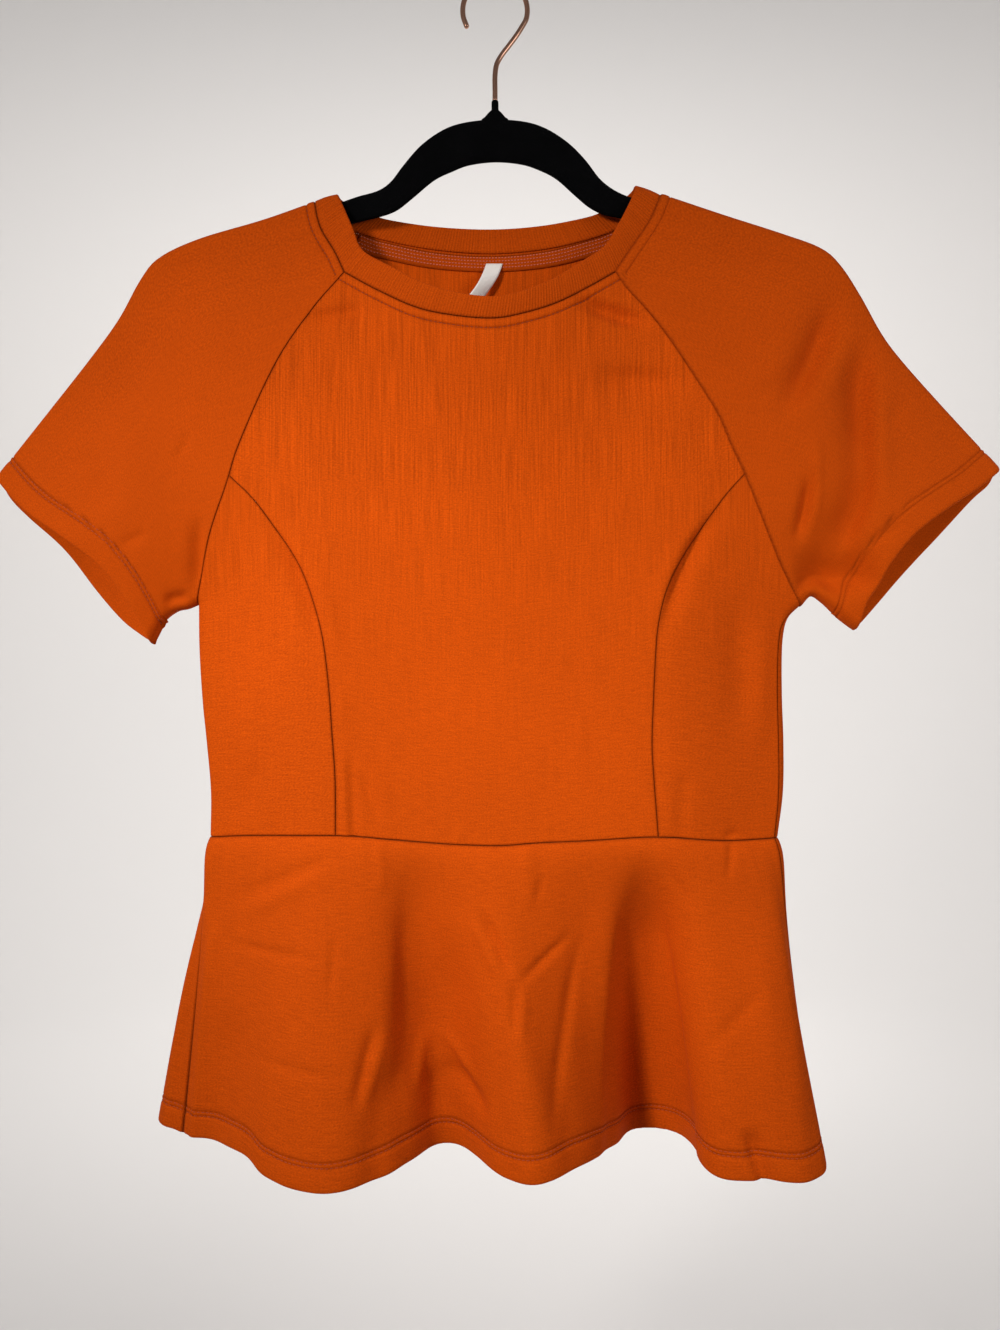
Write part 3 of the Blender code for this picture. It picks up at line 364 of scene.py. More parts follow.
# Where rows of cells cross the strip of the back that laps round, as shares of its width.
LAP_SHARES = (0.12, 0.35, 0.6, 0.78, 0.9, 1)
# Length in millimetres of each stretch that is shared out into cells.
STRETCH = {
    "raglan": 150, "under the arm": 86, "side": 150, "centre front": 200, "side front": 84,
    "body": 360, "sleeve": 170, "sleeve round": 240, "sleeve neck": 56, "frill": 170,
}


class ClothSizes(bpy.types.PropertyGroup):
    thickness: FloatProperty(
        name="Cloth thickness", description="Thickness of the double knit",
        default=0.0009, min=0.0003, max=0.002, precision=4, unit="LENGTH")
    seam_roll: FloatProperty(
        name="Seam roll", description="How far the cloth rolls in along a sewn seam",
        default=0.0009, min=0.0, max=0.002, precision=4, unit="LENGTH")
    hem_depth: FloatProperty(
        name="Hem depth", description="Depth of cloth turned up inside the hem and cuffs",
        default=0.020, min=0.005, max=0.04, precision=3, unit="LENGTH")
    fold_strength: FloatProperty(
        name="Fold strength", description="Scale of the folds laid into the cloth",
        default=1.0, min=0.0, max=1.6, subtype="FACTOR")
    cell: FloatProperty(
        name="Cell size", description="Usual size of a face of the cloth",
        default=0.0028, min=0.0015, max=0.01, precision=4, unit="LENGTH")


class StitchSizes(bpy.types.PropertyGroup):
    row_height: FloatProperty(
        name="Hem row height", description="Height of the upper needle row above the hem",
        default=0.0175, min=0.005, max=0.03, precision=4, unit="LENGTH")
    row_gap: FloatProperty(
        name="Needle gap", description="Distance between the two needle rows of a hem",
        default=0.003, min=0.001, max=0.008, precision=4, unit="LENGTH")
    pitch: FloatProperty(
        name="Stitch pitch", description="Distance from one stitch to the next",
        default=0.0029, min=0.0015, max=0.006, precision=4, unit="LENGTH")
    length: FloatProperty(
        name="Stitch length", description="Length of thread that shows of each stitch",
        default=0.0023, min=0.001, max=0.005, precision=4, unit="LENGTH")
    thread: FloatProperty(
        name="Thread width", description="Width of the sewing thread",
        default=0.00055, min=0.0002, max=0.001, precision=5, unit="LENGTH")
    neck_offset: FloatProperty(
        name="Neck topstitch offset", description="Distance of the neck topstitch from its seam",
        default=0.0058, min=0.002, max=0.012, precision=4, unit="LENGTH")


class KnitColours(bpy.types.PropertyGroup):
    knit: FloatVectorProperty(
        name="Knit", description="Colour of the knitted cloth", subtype="COLOR",
        default=(0.56, 0.064, 0.0012), min=0, max=1)
    hem_thread: FloatVectorProperty(
        name="Hem thread", description="Colour of the thread in the hems", subtype="COLOR",
        default=(0.42, 0.055, 0.007), min=0, max=1)
    neck_thread: FloatVectorProperty(
        name="Neck thread", description="Colour of the neck topstitch", subtype="COLOR",
        default=(0.22, 0.024, 0.002), min=0, max=1)
    cover_thread: FloatVectorProperty(
        name="Cover thread", description="Colour of the looped thread inside the back neck",
        subtype="COLOR", default=(0.72, 0.18, 0.11), min=0, max=1)
    label: FloatVectorProperty(
        name="Label", description="Colour of the bare label", subtype="COLOR",
        default=(1.0, 0.95, 0.89), min=0, max=1)


class HangerColours(bpy.types.PropertyGroup):
    flock: FloatVectorProperty(
        name="Flock", description="Colour of the flocked body", subtype="COLOR",
        default=(0.0022, 0.0022, 0.0025), min=0, max=1)
    wire: FloatVectorProperty(
        name="Wire", description="Colour of the plated hook", subtype="COLOR",
        default=(0.55, 0.30, 0.21), min=0, max=1)


class StageLook(bpy.types.PropertyGroup):
    paper: FloatVectorProperty(
        name="Backdrop", description="Colour of the floor and backdrop", subtype="COLOR",
        default=(0.66, 0.645, 0.635), min=0, max=1)
    key: FloatProperty(
        name="Key light", description="Power of the soft light at the left of the camera",
        default=1.52, min=0.0, max=500.0, unit="POWER")
    fill: FloatProperty(
        name="Fill light", description="Power of the weaker light at the right",
        default=0.95, min=0.0, max=500.0, unit="POWER")
    wall: FloatProperty(
        name="Backdrop light", description="Power of the light on the backdrop",
        default=98.0, min=0.0, max=500.0, unit="POWER")
    sky: FloatProperty(
        name="Room light", description="Strength of the even light from all round",
        default=0.25, min=0.0, max=3.0)


def smooth(rows, per=10, closed=False):
    """Dense points on the smooth line through the rows."""
    pts = np.array(rows, float)
    if closed:
        ext = np.vstack([pts[-1], pts, pts[0], pts[1]])
    else:
        ext = np.vstack([2 * pts[0] - pts[1], pts, 2 * pts[-1] - pts[-2]])
    t = (np.arange(per) / per)[:, None]
    out = []
    for a, b, c, d in zip(ext[:-3], ext[1:-2], ext[2:-1], ext[3:]):
        out.append(0.5 * (2 * b + (c - a) * t + (2 * a - 5 * b + 4 * c - d) * t * t
                          + (3 * b - a - 3 * c + d) * t ** 3))
    if not closed:
        out.append(pts[-1:])
    return np.vstack(out)


def shares(points):
    """Share of the length at each point of a line, from 0 to 1."""
    steps = np.linalg.norm(np.diff(points, axis=0), axis=1)
    total = np.concatenate([[0.0], np.cumsum(steps)])
    return total / total[-1]


def length(points):
    return np.linalg.norm(np.diff(points, axis=0), axis=1).sum()


def unit(vectors):
    return vectors / np.linalg.norm(vectors, axis=-1, keepdims=True)


def along(dense, at):
    """Points at the given shares of a dense line's length."""
    s = shares(dense)
    return np.stack([np.interp(at, s, dense[:, i]) for i in range(dense.shape[1])], axis=-1)


def ease(t):
    t = np.clip(t, 0, 1)
    return t * t * (3 - 2 * t)


def row_shares(total, start, end, cells):
    """Shares along a row: set distances in from both ends, and even cells between."""
    scale = min(1.0, total / (2.5 * (start[-1] + end[-1]) + 1e-9))
    head = np.array(start) * scale
    tail = total - np.array(end)[::-1] * scale
    middle = np.linspace(head[-1], tail[0], cells + 1)[1:-1]
    return np.concatenate([head, middle, tail]) / total


def cut_line(rows, start, end, cells):
    """Points along a seam or fold, close together toward its ends."""
    dense = smooth(rows)
    return along(dense, row_shares(length(dense), start, end, cells))


def folded_outline():
    """Short straight runs of every folded edge, as start and end points."""
    folds = ("shoulder", "underarm", "side")
    lines = [smooth(side[key]) for side in (RIGHT, LEFT) for key in folds]
    starts = np.vstack([line[:-1] for line in lines])
    ends = np.vstack([line[1:] for line in lines])
    return starts, ends


OUTLINE = folded_outline()
DEPTHS = {1: smooth(FRONT_DEPTH)[::-1], -1: smooth(BACK_DEPTH)[::-1]}


def square_to(run):
    """Directions at right angles to each run of a line, on its right as seen from the front."""
    return np.stack([run[:, 1], -run[:, 0]], -1)


def from_fold(xz):
    """Distance of each point from the folded outline, and the direction away from it."""
    start, end = OUTLINE
    run = end - start
    square = (run * run).sum(-1)
    flat = xz.reshape(-1, 2)
    near = np.empty(len(flat), int)
    for first in range(0, len(flat), 4000):
        rel = flat[first:first + 4000, None] - start
        t = np.clip((rel * run).sum(-1) / square, 0, 1)
        away = rel - t[..., None] * run
        near[first:first + 4000] = (away * away).sum(-1).argmin(-1)
    rel = flat - start[near]
    t = np.clip((rel * run[near]).sum(-1) / square[near], 0, 1)
    away = rel - t[:, None] * run[near]
    d = np.linalg.norm(away, axis=-1)
    side = unit(square_to(run[near]))
    side *= np.sign(((np.array([0.0, -400.0]) - flat) * side).sum(-1))[:, None]
    out = np.where((d < 0.02)[:, None], side, away / np.maximum(d, 1e-9)[:, None])
    return d.reshape(xz.shape[:-1]), out.reshape(xz.shape)


def neck_line(key, middle):
    """The neck seam of one sheet, from its right end to its left end."""
    return np.vstack([smooth(RIGHT[key]), smooth(middle), smooth(LEFT[key])[::-1]])


NECK_LINES = {1: neck_line("neck_front", NECK_FRONT), -1: neck_line("neck_back", NECK_BACK)}


def neck_sewing(xz, sheet):
    """Relief that the topstitch leaves, a set distance out from the neck seam, and a mark of painted
    shade along its stitch line.
    """
    offset = bpy.context.scene.garment_stitches.neck_offset / MM
    line = NECK_LINES[sheet]
    start, run = line[:-1], np.diff(line, axis=0)
    square = np.maximum((run * run).sum(-1), 1e-9)
    d = np.full(xz.shape[:-1], 99.0)
    near = xz[..., 1] > line[:, 1].min() - 3 * offset
    rel = xz[near][:, None] - start
    t = np.clip((rel * run).sum(-1) / square, 0, 1)
    d[near] = np.linalg.norm(rel - t[..., None] * run, axis=-1).min(-1)
    welt = np.sin(math.pi * np.clip(d / offset, 0, 1))
    stitched = np.exp(-((d - offset) / 0.6) ** 2)
    return 0.35 * welt - 0.5 * stitched, 0.8 * stitched


def half_depth(x, z, sheet):
    """Broad half depth of a sheet, before it closes toward its folds."""
    rows = DEPTHS[sheet]
    centre, princess, side = (np.interp(z, rows[:, 0], rows[:, i]) for i in (1, 2, 3))
    out = np.abs(x)
    return (centre + (princess - centre) * ease(out / 100)
            + (side - princess) * ease((out - 100) / 70))


def on_sheet(xz, sheet):
    """Places and outward normals on the front (1) or back (-1) sheet, and how far from a fold."""
    d, away = from_fold(xz)
    x, z = xz[..., 0], xz[..., 1]
    sheet = np.broadcast_to(sheet, d.shape)
    broad = half_depth(x, z, 1) * (sheet > 0) + half_depth(x, z, -1) * (sheet < 0)
    turn = np.minimum(d, FOLD_RADIUS)
    fold = np.sqrt(np.maximum(FOLD_RADIUS ** 2 - (FOLD_RADIUS - turn) ** 2, 0))
    arc = math.pi / 2 * np.minimum(d / FOLD_REACH, 1)
    depth = fold + (broad - FOLD_RADIUS) * np.sin(arc)
    slope = (FOLD_RADIUS - turn) / np.maximum(fold, 0.02)
    slope = slope + (broad - FOLD_RADIUS) * np.cos(arc) * math.pi / 2 / FOLD_REACH
    points = np.stack([x, -sheet * depth, z], -1)
    normals = np.stack([-slope * away[..., 0], -sheet * np.ones_like(d), -slope * away[..., 1]], -1)
    return points, unit(normals), d


def fold_relief(x, z, rows):
    """How far the folds in a table stand out or in at each place."""
    out = np.zeros_like(x)
    for x0, z0, x1, z1, bow, wide, lee, height, ends in rows:
        run = np.array([x1 - x0, z1 - z0], float)
        long = np.hypot(*run)
        run /= long
        s = ((x - x0) * run[0] + (z - z0) * run[1]) / long
        q = -(x - x0) * run[1] + (z - z0) * run[0]
        q = q - bow * 4 * np.clip(s, 0, 1) * (1 - np.clip(s, 0, 1))
        rise = np.ones_like(x)
        if ends in (0, 1):
            rise = rise * ease(s / 0.4)
        if ends in (0, 2):
            rise = rise * ease((1 - s) / 0.4)
        if ends in (1, 3):
            rise = rise * ease((1.6 - s) / 0.3)
        if ends in (2, 3):
            rise = rise * ease((s + 0.6) / 0.3)
        out += height * rise * np.exp(-(q / np.where(q > 0, wide, lee)) ** 2)
    return out


def laid_folds(xz, far, folds):
    """Relief of a table's folds, running out within 10 mm of a folded edge."""
    strength = bpy.context.scene.garment_cloth.fold_strength
    return fold_relief(xz[..., 0], xz[..., 1], folds) * strength * ease((far - 1) / 9)


def patch(left, right, top, bottom, u):
    """Grid of (x, z) between four sides; left and right run down, top and bottom across."""
    v = (1 - u) * shares(left)[:, None] + u * shares(right)[:, None]
    u, v = u[..., None], v[..., None]
    sides = (1 - u) * left[:, None] + u * right[:, None]
    ends = (1 - v) * along(top, u[..., 0]) + v * along(bottom, u[..., 0])
    corners = ((1 - v) * ((1 - u) * left[0] + u * right[0])
               + v * ((1 - u) * left[-1] + u * right[-1]))
    return sides + ends - corners


def run_lengths(grid):
    """Length across each row and down each column, counted up from the first point."""
    across = np.linalg.norm(np.diff(grid, axis=1), axis=-1)
    down = np.linalg.norm(np.diff(grid, axis=0), axis=-1)
    across = np.concatenate([np.zeros((len(grid), 1)), np.cumsum(across, axis=1)], axis=1)
    down = np.concatenate([np.zeros((1, grid.shape[1])), np.cumsum(down, axis=0)], axis=0)
    return across, down


def seam_roll(grid, edges, radius):
    """Drop toward each seamed edge, and a 0 to 1 mark of painted shade that is 1 in the seam groove.
    """
    across, down = run_lengths(grid)
    far = {
        "left": across, "right": across[:, -1:] - across,
        "top": down, "bottom": down[-1:] - down,
    }
    drop = np.zeros(grid.shape[:2])
    mark = np.zeros(grid.shape[:2])
    for edge in edges:
        d = np.minimum(far[edge], radius)
        drop = np.maximum(drop, radius - np.sqrt(np.maximum(radius ** 2 - (radius - d) ** 2, 0)))
        mark = np.maximum(mark, np.exp(-(far[edge] / 0.9) ** 2))
    return drop, mark


def grid_normals(grid, like):
    """Normals of a grid from its own shape, on the side of the given ones."""
    across = np.gradient(grid, axis=1)
    down = np.gradient(grid, axis=0)
    normals = np.cross(down, across)
    size = np.linalg.norm(normals, axis=-1, keepdims=True)
    normals = np.where(size > 1e-9, normals / np.maximum(size, 1e-9), like)
    return normals * np.where((normals * like).sum(-1, keepdims=True) < 0, -1, 1)


def ring_normals(grid):
    """Outward normals of a closed ring of points, rows running down."""
    across = np.roll(grid, -1, axis=1) - np.roll(grid, 1, axis=1)
    down = np.gradient(grid, axis=0)
    normals = unit(np.cross(down, across))
    centre = grid.mean(axis=(0, 1))
    if ((grid - centre) * normals).sum() < 0:
        normals = -normals
    return normals


def closed(ring):
    """The columns of a ring, with the first one again at the end."""
    return np.concatenate([ring, ring[:, :1]], axis=1)


def in_from_edge(grid, distances):
    """Rows at set distances in from the last row, measured along each column."""
    back = grid[::-1]
    far = run_lengths(back)[1]
    out = np.empty((len(distances),) + grid.shape[1:])
    for k in range(grid.shape[1]):
        for i in range(grid.shape[2]):
            out[:, k, i] = np.interp(distances, far[:, k], back[:, k, i])
    return out


def turn_under(grid, normals, depth, steps):
    """The grid with its last edge folded over to the inside and laid back up."""
    start = grid[-2]
    down = grid[-1] - start
    radius = np.linalg.norm(down, axis=-1, keepdims=True)
    down = down / radius
    centre = start - normals[-2] * radius
    turn = [centre + radius * (normals[-2] * math.cos(a) + down * math.sin(a))
            for a in np.radians([30, 60, 90, 120, 150, 180])]
    heights = np.linspace(radius.mean(), depth, steps + 1)[1:]
    stacked = in_from_edge(np.concatenate([grid, normals], axis=-1), heights)
    under = stacked[..., :3] - 2 * radius * stacked[..., 3:]
    return np.concatenate([grid[:-1], np.array(turn), under])


def needle_rows():
    """Heights of a hem's upper and lower needle row above its edge."""
    stitches = bpy.context.scene.garment_stitches
    upper = stitches.row_height / MM
    return upper, upper - stitches.row_gap / MM


def hem_relief(far):
    """Relief of a hem, a groove under each needle row and fuller cloth below them, and a mark of
    painted shade in the grooves.
    """
    upper, lower = needle_rows()
    groove = np.exp(-((far - upper) / 0.75) ** 2) + 0.8 * np.exp(-((far - lower) / 0.75) ** 2)
    welt = np.exp(-((far - (upper + lower) / 2) / 0.7) ** 2)
    fuller = ease(far / 3) * ease((lower - far) / 3)
    return 0.22 * welt + 0.35 * fuller - 0.55 * groove, 0.75 * groove


def laid_grid(name, grid):
    """A grid of faces moved to its places, and the row and column of each corner."""
    rows, cols = grid.shape[:2]
    bm = bmesh.new()
    bmesh.ops.create_grid(bm, x_segments=cols - 1, y_segments=rows - 1, size=1)
    if len(bm.verts) != rows * cols:
        raise RuntimeError(f"{name}: the grid has {len(bm.verts)} corners, not {rows * cols}")
    place = {}
    for vert in bm.verts:
        k = round((vert.co.x + 1) / 2 * (cols - 1))
        j = round((1 - vert.co.y) / 2 * (rows - 1))
        place[vert.index] = (j, k)
        vert.co = grid[j, k] * MM
    return bm, place


def shown(name, bm, finish):
    """An object in the scene from a bmesh, with its material."""
    mesh = bpy.data.meshes.new(name)
    bm.to_mesh(mesh)
    bm.free()
    mesh.materials.append(finish)
    piece = bpy.data.objects.new(name, mesh)
    bpy.context.scene.collection.objects.link(piece)
    return piece


def cloth_piece(name, grid, normals, mark, finish, ring=False):
    """A knitted piece: a grid of faces whose corners are moved to their places."""
    bm, place = laid_grid(name, grid)
    across, down = run_lengths(grid)
    u = across.mean(axis=0) * MM
    v = down.mean(axis=1) * MM
    # Each corner keeps its mark, which the knit turns into painted shade along seams, hem grooves
    # and the neck topstitch.
    sewn = bm.verts.layers.float.new("sewn")
    uv = bm.loops.layers.uv.new("cloth")
    for vert in bm.verts:
        j, k = place[vert.index]
        vert[sewn] = mark[j, k] if j < len(mark) else 0.0
    for face in bm.faces:
        face.smooth = True
        for loop in face.loops:
            j, k = place[loop.vert.index]
            loop[uv].uv = (u[k], v[j])
    if ring:
        edge = [vert for vert in bm.verts if place[vert.index][1] in (0, grid.shape[1] - 1)]
        bmesh.ops.remove_doubles(bm, verts=edge, dist=2e-6)
    bmesh.ops.recalc_face_normals(bm, faces=bm.faces)
    bm.normal_update()
    bm.verts.ensure_lookup_table()
    facing = 0.0
    for vert in list(bm.verts)[::7]:
        j, k = place.get(vert.index, (0, 0))
        if (vert.co - Vector(grid[j, k] * MM)).length < 1e-6 and j < len(normals):
            facing += vert.normal.dot(Vector(normals[j, k]))
    if facing < 0:
        bmesh.ops.reverse_faces(bm, faces=bm.faces)
    piece = shown(name, bm, finish)
    wall = piece.modifiers.new("cloth thickness", "SOLIDIFY")
    wall.thickness = bpy.context.scene.garment_cloth.thickness
    wall.offset = -1
    wall.use_rim = True
    return piece


def sew(piece, node):
    """Hangs a cloth piece under the root and hides the solid that it stands for."""
    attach(piece, "root")
    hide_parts(node)


def sew_on(piece):
    """A small piece that goes with the cloth, such as a row of stitches."""
    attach(piece, "root")


def sizes():
    """Cloth sizes in millimetres, from the panel's values."""
    cloth = bpy.context.scene.garment_cloth
    return {
        "roll": cloth.seam_roll / MM, "hem": cloth.hem_depth / MM,
        "folds": cloth.fold_strength, "cell": cloth.cell / MM,
    }


def cells(total, size):
    return max(4, int(round(total / size)))


def wrap(z):
    rows = np.array(LEFT_WRAP[::-1], float)
    return np.interp(z, rows[:, 0], rows[:, 1])


def height_of(rows, xs):
    """Points of a line through rows at the given x."""
    dense = smooth(rows)
    return np.stack([xs, np.interp(xs, dense[:, 0], dense[:, 1])], -1)


def seam_rows(side, cell):
    """Points of one side's seams, with as many in each stretch as its neighbour has."""
    raglan, under, fold = (cells(STRETCH[key], cell * 0.8)
                           for key in ("raglan", "under the arm", "side"))
    short = (0,)
    dense = smooth(side["raglan_back"])
    split = 0.66 * length(dense)
    upper = along(dense, row_shares(split, NECK_STEPS, short, raglan) * 0.66)
    lower = row_shares(length(dense) - split, short, NEAR_STEPS, under)
    lower = along(dense, 0.66 + 0.34 * lower)
    return {
        "raglan": cut_line(side["raglan_front"], NECK_STEPS, short, raglan),
        "under": cut_line(side["raglan_under"], TIP_STEPS, NEAR_STEPS, under),
        "princess": cut_line(side["princess"], TIP_STEPS, SEAM_STEPS, under + fold),
        "fold": cut_line(side["side"], NEAR_STEPS, SEAM_STEPS, fold),
        "back": np.vstack([upper, lower[1:]]),
    }


def sewn_panel(xz, sheet, sheets, edges, folds):
    """Places, normals and marks of painted shade along the seams of a panel that lies on a sheet,
    but for what laps round.
    """
    points, normals, far = on_sheet(xz, sheets)
    relief = laid_folds(xz, far, folds) * (sheets == sheet)
    drop, mark = seam_roll(points, edges, sizes()["roll"])
    neck, stitched = neck_sewing(xz, sheet)
    points = points + normals * (relief + neck - drop)[..., None]
    return points, normals, np.maximum(mark, stitched)


class Wire:
    """A value in a material, so that sums on it read as plain arithmetic."""

    def __init__(self, finish, socket):
        self.finish = finish
        self.socket = socket

    def maths(self, operation, first, second):
        return self.finish.node("ShaderNodeMath", {"operation": operation},
                                {0: first, 1: second})

    def __add__(self, other):
        return self.maths("ADD", self, other)

    def __sub__(self, other):
        return self.maths("SUBTRACT", self, other)

    def __mul__(self, other):
        return self.maths("MULTIPLY", self, other)

    def __rsub__(self, other):
        return self.maths("SUBTRACT", other, self)

    __radd__ = __add__
    __rmul__ = __mul__


class Finish:
    """One material while its nodes are joined up."""

    def __init__(self, name, **constants):
        self.material = bpy.data.materials.new(name)
        self.material.use_nodes = True
        self.nodes = self.material.node_tree.nodes
        self.links = self.material.node_tree.links
        self.shader = self.nodes["Principled BSDF"]
        for socket, value in constants.items():
            self.shader.inputs[socket.replace("_", " ")].default_value = value

    def node(self, kind, settings=None, inputs=None, out=0):
        """A node of a kind, set up and fed, as the value of one of its outputs."""
        made = self.nodes.new(kind)
        for key, value in (settings or {}).items():
            if key == "stops":
                ramp = made.color_ramp
                while len(ramp.elements) < len(value):
                    ramp.elements.new(0.5)
                for element, (position, colour) in zip(ramp.elements, value):
                    element.position = position
                    element.color = colour
            else:
                setattr(made, key, value)
        for key, value in (inputs or {}).items():
            if isinstance(value, Wire):
                self.links.new(value.socket, made.inputs[key])
            else:
                made.inputs[key].default_value = value
        return Wire(self, made.outputs[out])

    def feed(self, socket, value):
        """Joins a value to the shader."""
        self.links.new(value.socket, self.shader.inputs[socket])

    def place(self):
        """Object coordinates."""
        return self.node("ShaderNodeTexCoord", out="Object")

    def split(self, vector):
        """X, Y and Z of a vector."""
        return [self.node("ShaderNodeSeparateXYZ", inputs={"Vector": vector}, out=i)
                for i in range(3)]

    def cloth_place(self):
        """Metres across and along a cloth piece."""
        return self.split(self.node("ShaderNodeUVMap", {"uv_map": "cloth"}))[:2]

    def vector(self, x, y, z=0.0):
        return self.node("ShaderNodeCombineXYZ", inputs={0: x, 1: y, 2: z})

    def noise(self, vector, scale, detail=2.0, roughness=0.5):
        """Soft noise about 0, from roughly -0.5 to 0.5."""
        value = self.node("ShaderNodeTexNoise", {"noise_dimensions": "3D"},
                          {"Vector": vector, "Scale": scale, "Detail": detail,
                           "Roughness": roughness})
        return value - 0.5

    def wave(self, value):
        return self.node("ShaderNodeMath", {"operation": "SINE"}, {0: value})

    def tint(self, colour, amount):
        """A colour made lighter or darker by an amount about 0."""
        return self.node("ShaderNodeVectorMath", {"operation": "SCALE"},
                         {0: colour, "Scale": amount + 1.0})

    def bump(self, strength, distance, height):
        """Joins a height to the shader as fine relief."""
        self.feed("Normal", self.node("ShaderNodeBump", inputs={
            "Strength": strength, "Distance": distance, "Height": height}))

    def mix(self, share, first, second):
        return self.node("ShaderNodeMix", {"data_type": "RGBA"},
                         {0: share, 6: first, 7: second}, out=2)


def knit_finish(name, streaks, ribs, tone, slant, upright):
    """Matt double knit: upright wales, level yarn streaks, small loops and a soft bloom, with
    painted shade along seams and stitch lines.
    """
    colours = bpy.context.scene.garment_colours
    # A tone below 1 gives a darker copy of the one knit: painted shade on the sleeves, band, frill
    # and the strip inside the neck.
    base = tuple(c * tone for c in colours.knit)
    light = (base[0] * 1.12, base[1] * 1.32, base[2] * 1.6, 1)
    finish = Finish(name, Sheen_Weight=0.04, Sheen_Roughness=0.4, Specular_IOR_Level=0.05,
                    Sheen_Tint=(1.0, 0.45, 0.15, 1))
    across, down = finish.cloth_place()
    spot = finish.place()
    x, _, z = finish.split(spot)
    wander = finish.noise(finish.vector(across * 70, down * 13), 1.0, 2.0) * 0.0012
    column = (x if upright else across) + wander
    wale = finish.noise(finish.vector(column * 1080, down * 24), 1.0, 2.0)
    broad = finish.noise(finish.vector(column * 330, down * 14), 1.0, 2.0)
    yarn = finish.vector((across + down * slant) * 90, (down - across * slant) * 1000)
    level = finish.noise(yarn, 1.0, 2.0)
    loop = finish.noise(finish.vector(across * 950 + down * 380, down * 1050), 1.0, 2.0)
    uneven = finish.noise(spot, 9.0, 3.0)
    higher = finish.node("ShaderNodeMapRange", {"interpolation_type": "SMOOTHSTEP"},
                         {"Value": z, "From Min": -0.48, "From Max": -0.27})
    # The seam mark darkens the colour here as painted shade in the seam, hem and topstitch grooves.
    sewn = finish.node("ShaderNodeAttribute", {"attribute_name": "sewn"}, out="Fac")
    rib = finish.wave((across + wander * 0.2) * (2 * math.pi / 0.0019))
    shade = (loop * 0.72 + wale * (higher * (0.8 * streaks) + 0.14)
             + broad * (higher * (0.12 * streaks) + 0.05) + level * (0.34 - higher * 0.24)
             + uneven * 0.20 + rib * (0.05 * ribs) - sewn * 0.48)
    share = finish.node("ShaderNodeMath", {"operation": "ADD", "use_clamp": True},
                        {0: loop * 0.8 + level * 0.5, 1: 0.35})
    finish.feed("Base Color", finish.tint(finish.mix(share, (*base, 1), light), shade))
    finish.feed("Roughness", loop * 0.12 + 0.86)
    height = loop + wale * (higher * streaks + 0.25) + level * 0.4 + rib * (0.7 * ribs)
    finish.bump(0.55, 0.00035, height)
    return finish.material


def thread_finish(name, colour):
    """Spun sewing thread with a slight twist."""
    finish = Finish(name, Sheen_Weight=0.1, Specular_IOR_Level=0.3)
    spot = finish.place()
    x, y, z = finish.split(spot)
    twist = finish.wave((x + y * 0.7 + z) * 9000.0)
    fuzz = finish.noise(spot, 900.0, 2.0)
    finish.feed("Base Color", finish.tint(tuple(colour), twist * 0.08 + fuzz * 0.4))
    finish.feed("Roughness", fuzz * 0.2 + 0.62)
    finish.bump(0.4, 0.0001, twist)
    return finish.material


def label_finish(colour):
    """Bare woven satin tape, with the ribs of its weave."""
    finish = Finish("label_tape", Sheen_Weight=0.1, Specular_IOR_Level=0.35)
    across, down = finish.cloth_place()
    weave = (finish.wave(down * (2 * math.pi / 0.0006))
             + finish.wave(across * (2 * math.pi / 0.0005)))
    soft = finish.noise(finish.vector(across * 300, down * 160), 1.0, 3.0)
    finish.feed("Base Color", finish.tint(tuple(colour), weave * 0.02 + soft * 0.08))
    finish.feed("Roughness", soft * 0.2 + 0.55)
    finish.bump(0.35, 0.0001, weave + soft)
    return finish.material


def flock_finish(colour):
    """Short black pile: deep, dull and slightly uneven."""
    finish = Finish("hanger_flock_pile", Sheen_Weight=0.02, Sheen_Roughness=0.5,
                    Specular_IOR_Level=0.03, Sheen_Tint=(0.6, 0.6, 0.62, 1))
    spot = finish.place()
    pile = finish.noise(spot, 1900.0, 3.0)
    patch_tone = finish.noise(spot, 60.0, 3.0)
    finish.feed("Base Color", finish.tint(tuple(colour), pile * 1.4 + patch_tone * 0.8))
    finish.feed("Roughness", pile * 0.1 + 0.93)
    finish.bump(0.7, 0.0003, pile + patch_tone * 0.4)
    return finish.material


def wire_finish(colour):
    """Plated wire, drawn along its length, a little duller where it is handled."""
    finish = Finish("hook_plated_wire", Metallic=1.0)
    spot = finish.place()
    x, y, z = finish.split(spot)
    drawn = finish.noise(finish.vector(x * 2600, y * 2600, z * 260), 1.0, 2.0)
    dull = finish.noise(spot, 45.0, 3.0)
    finish.feed("Base Color", finish.tint(tuple(colour), dull * 0.25 + drawn * 0.1))
    finish.feed("Roughness", dull * 0.2 + drawn * 0.1 + 0.21)
    finish.bump(0.2, 0.00005, drawn)
    return finish.material


def backdrop_finish(colour):
    """Plain matt paper."""
    finish = Finish("backdrop_paper", Specular_IOR_Level=0.15)
    spot = finish.place()
    soft = finish.noise(spot, 0.8, 2.0)
    finish.feed("Base Color", finish.tint(tuple(colour), soft * 0.03))
    finish.feed("Roughness", soft * 0.05 + 0.92)
    return finish.material


def knit(name="knit_body", streaks=1.0, ribs=0.0, tone=1.0, slant=0.0, upright=False):
    """The knit material, made once for each kind of piece; a tone below 1 darkens that piece's copy
    as painted shade.
    """
    return bpy.data.materials.get(name) or knit_finish(name, streaks, ribs, tone, slant,
                                                        upright)


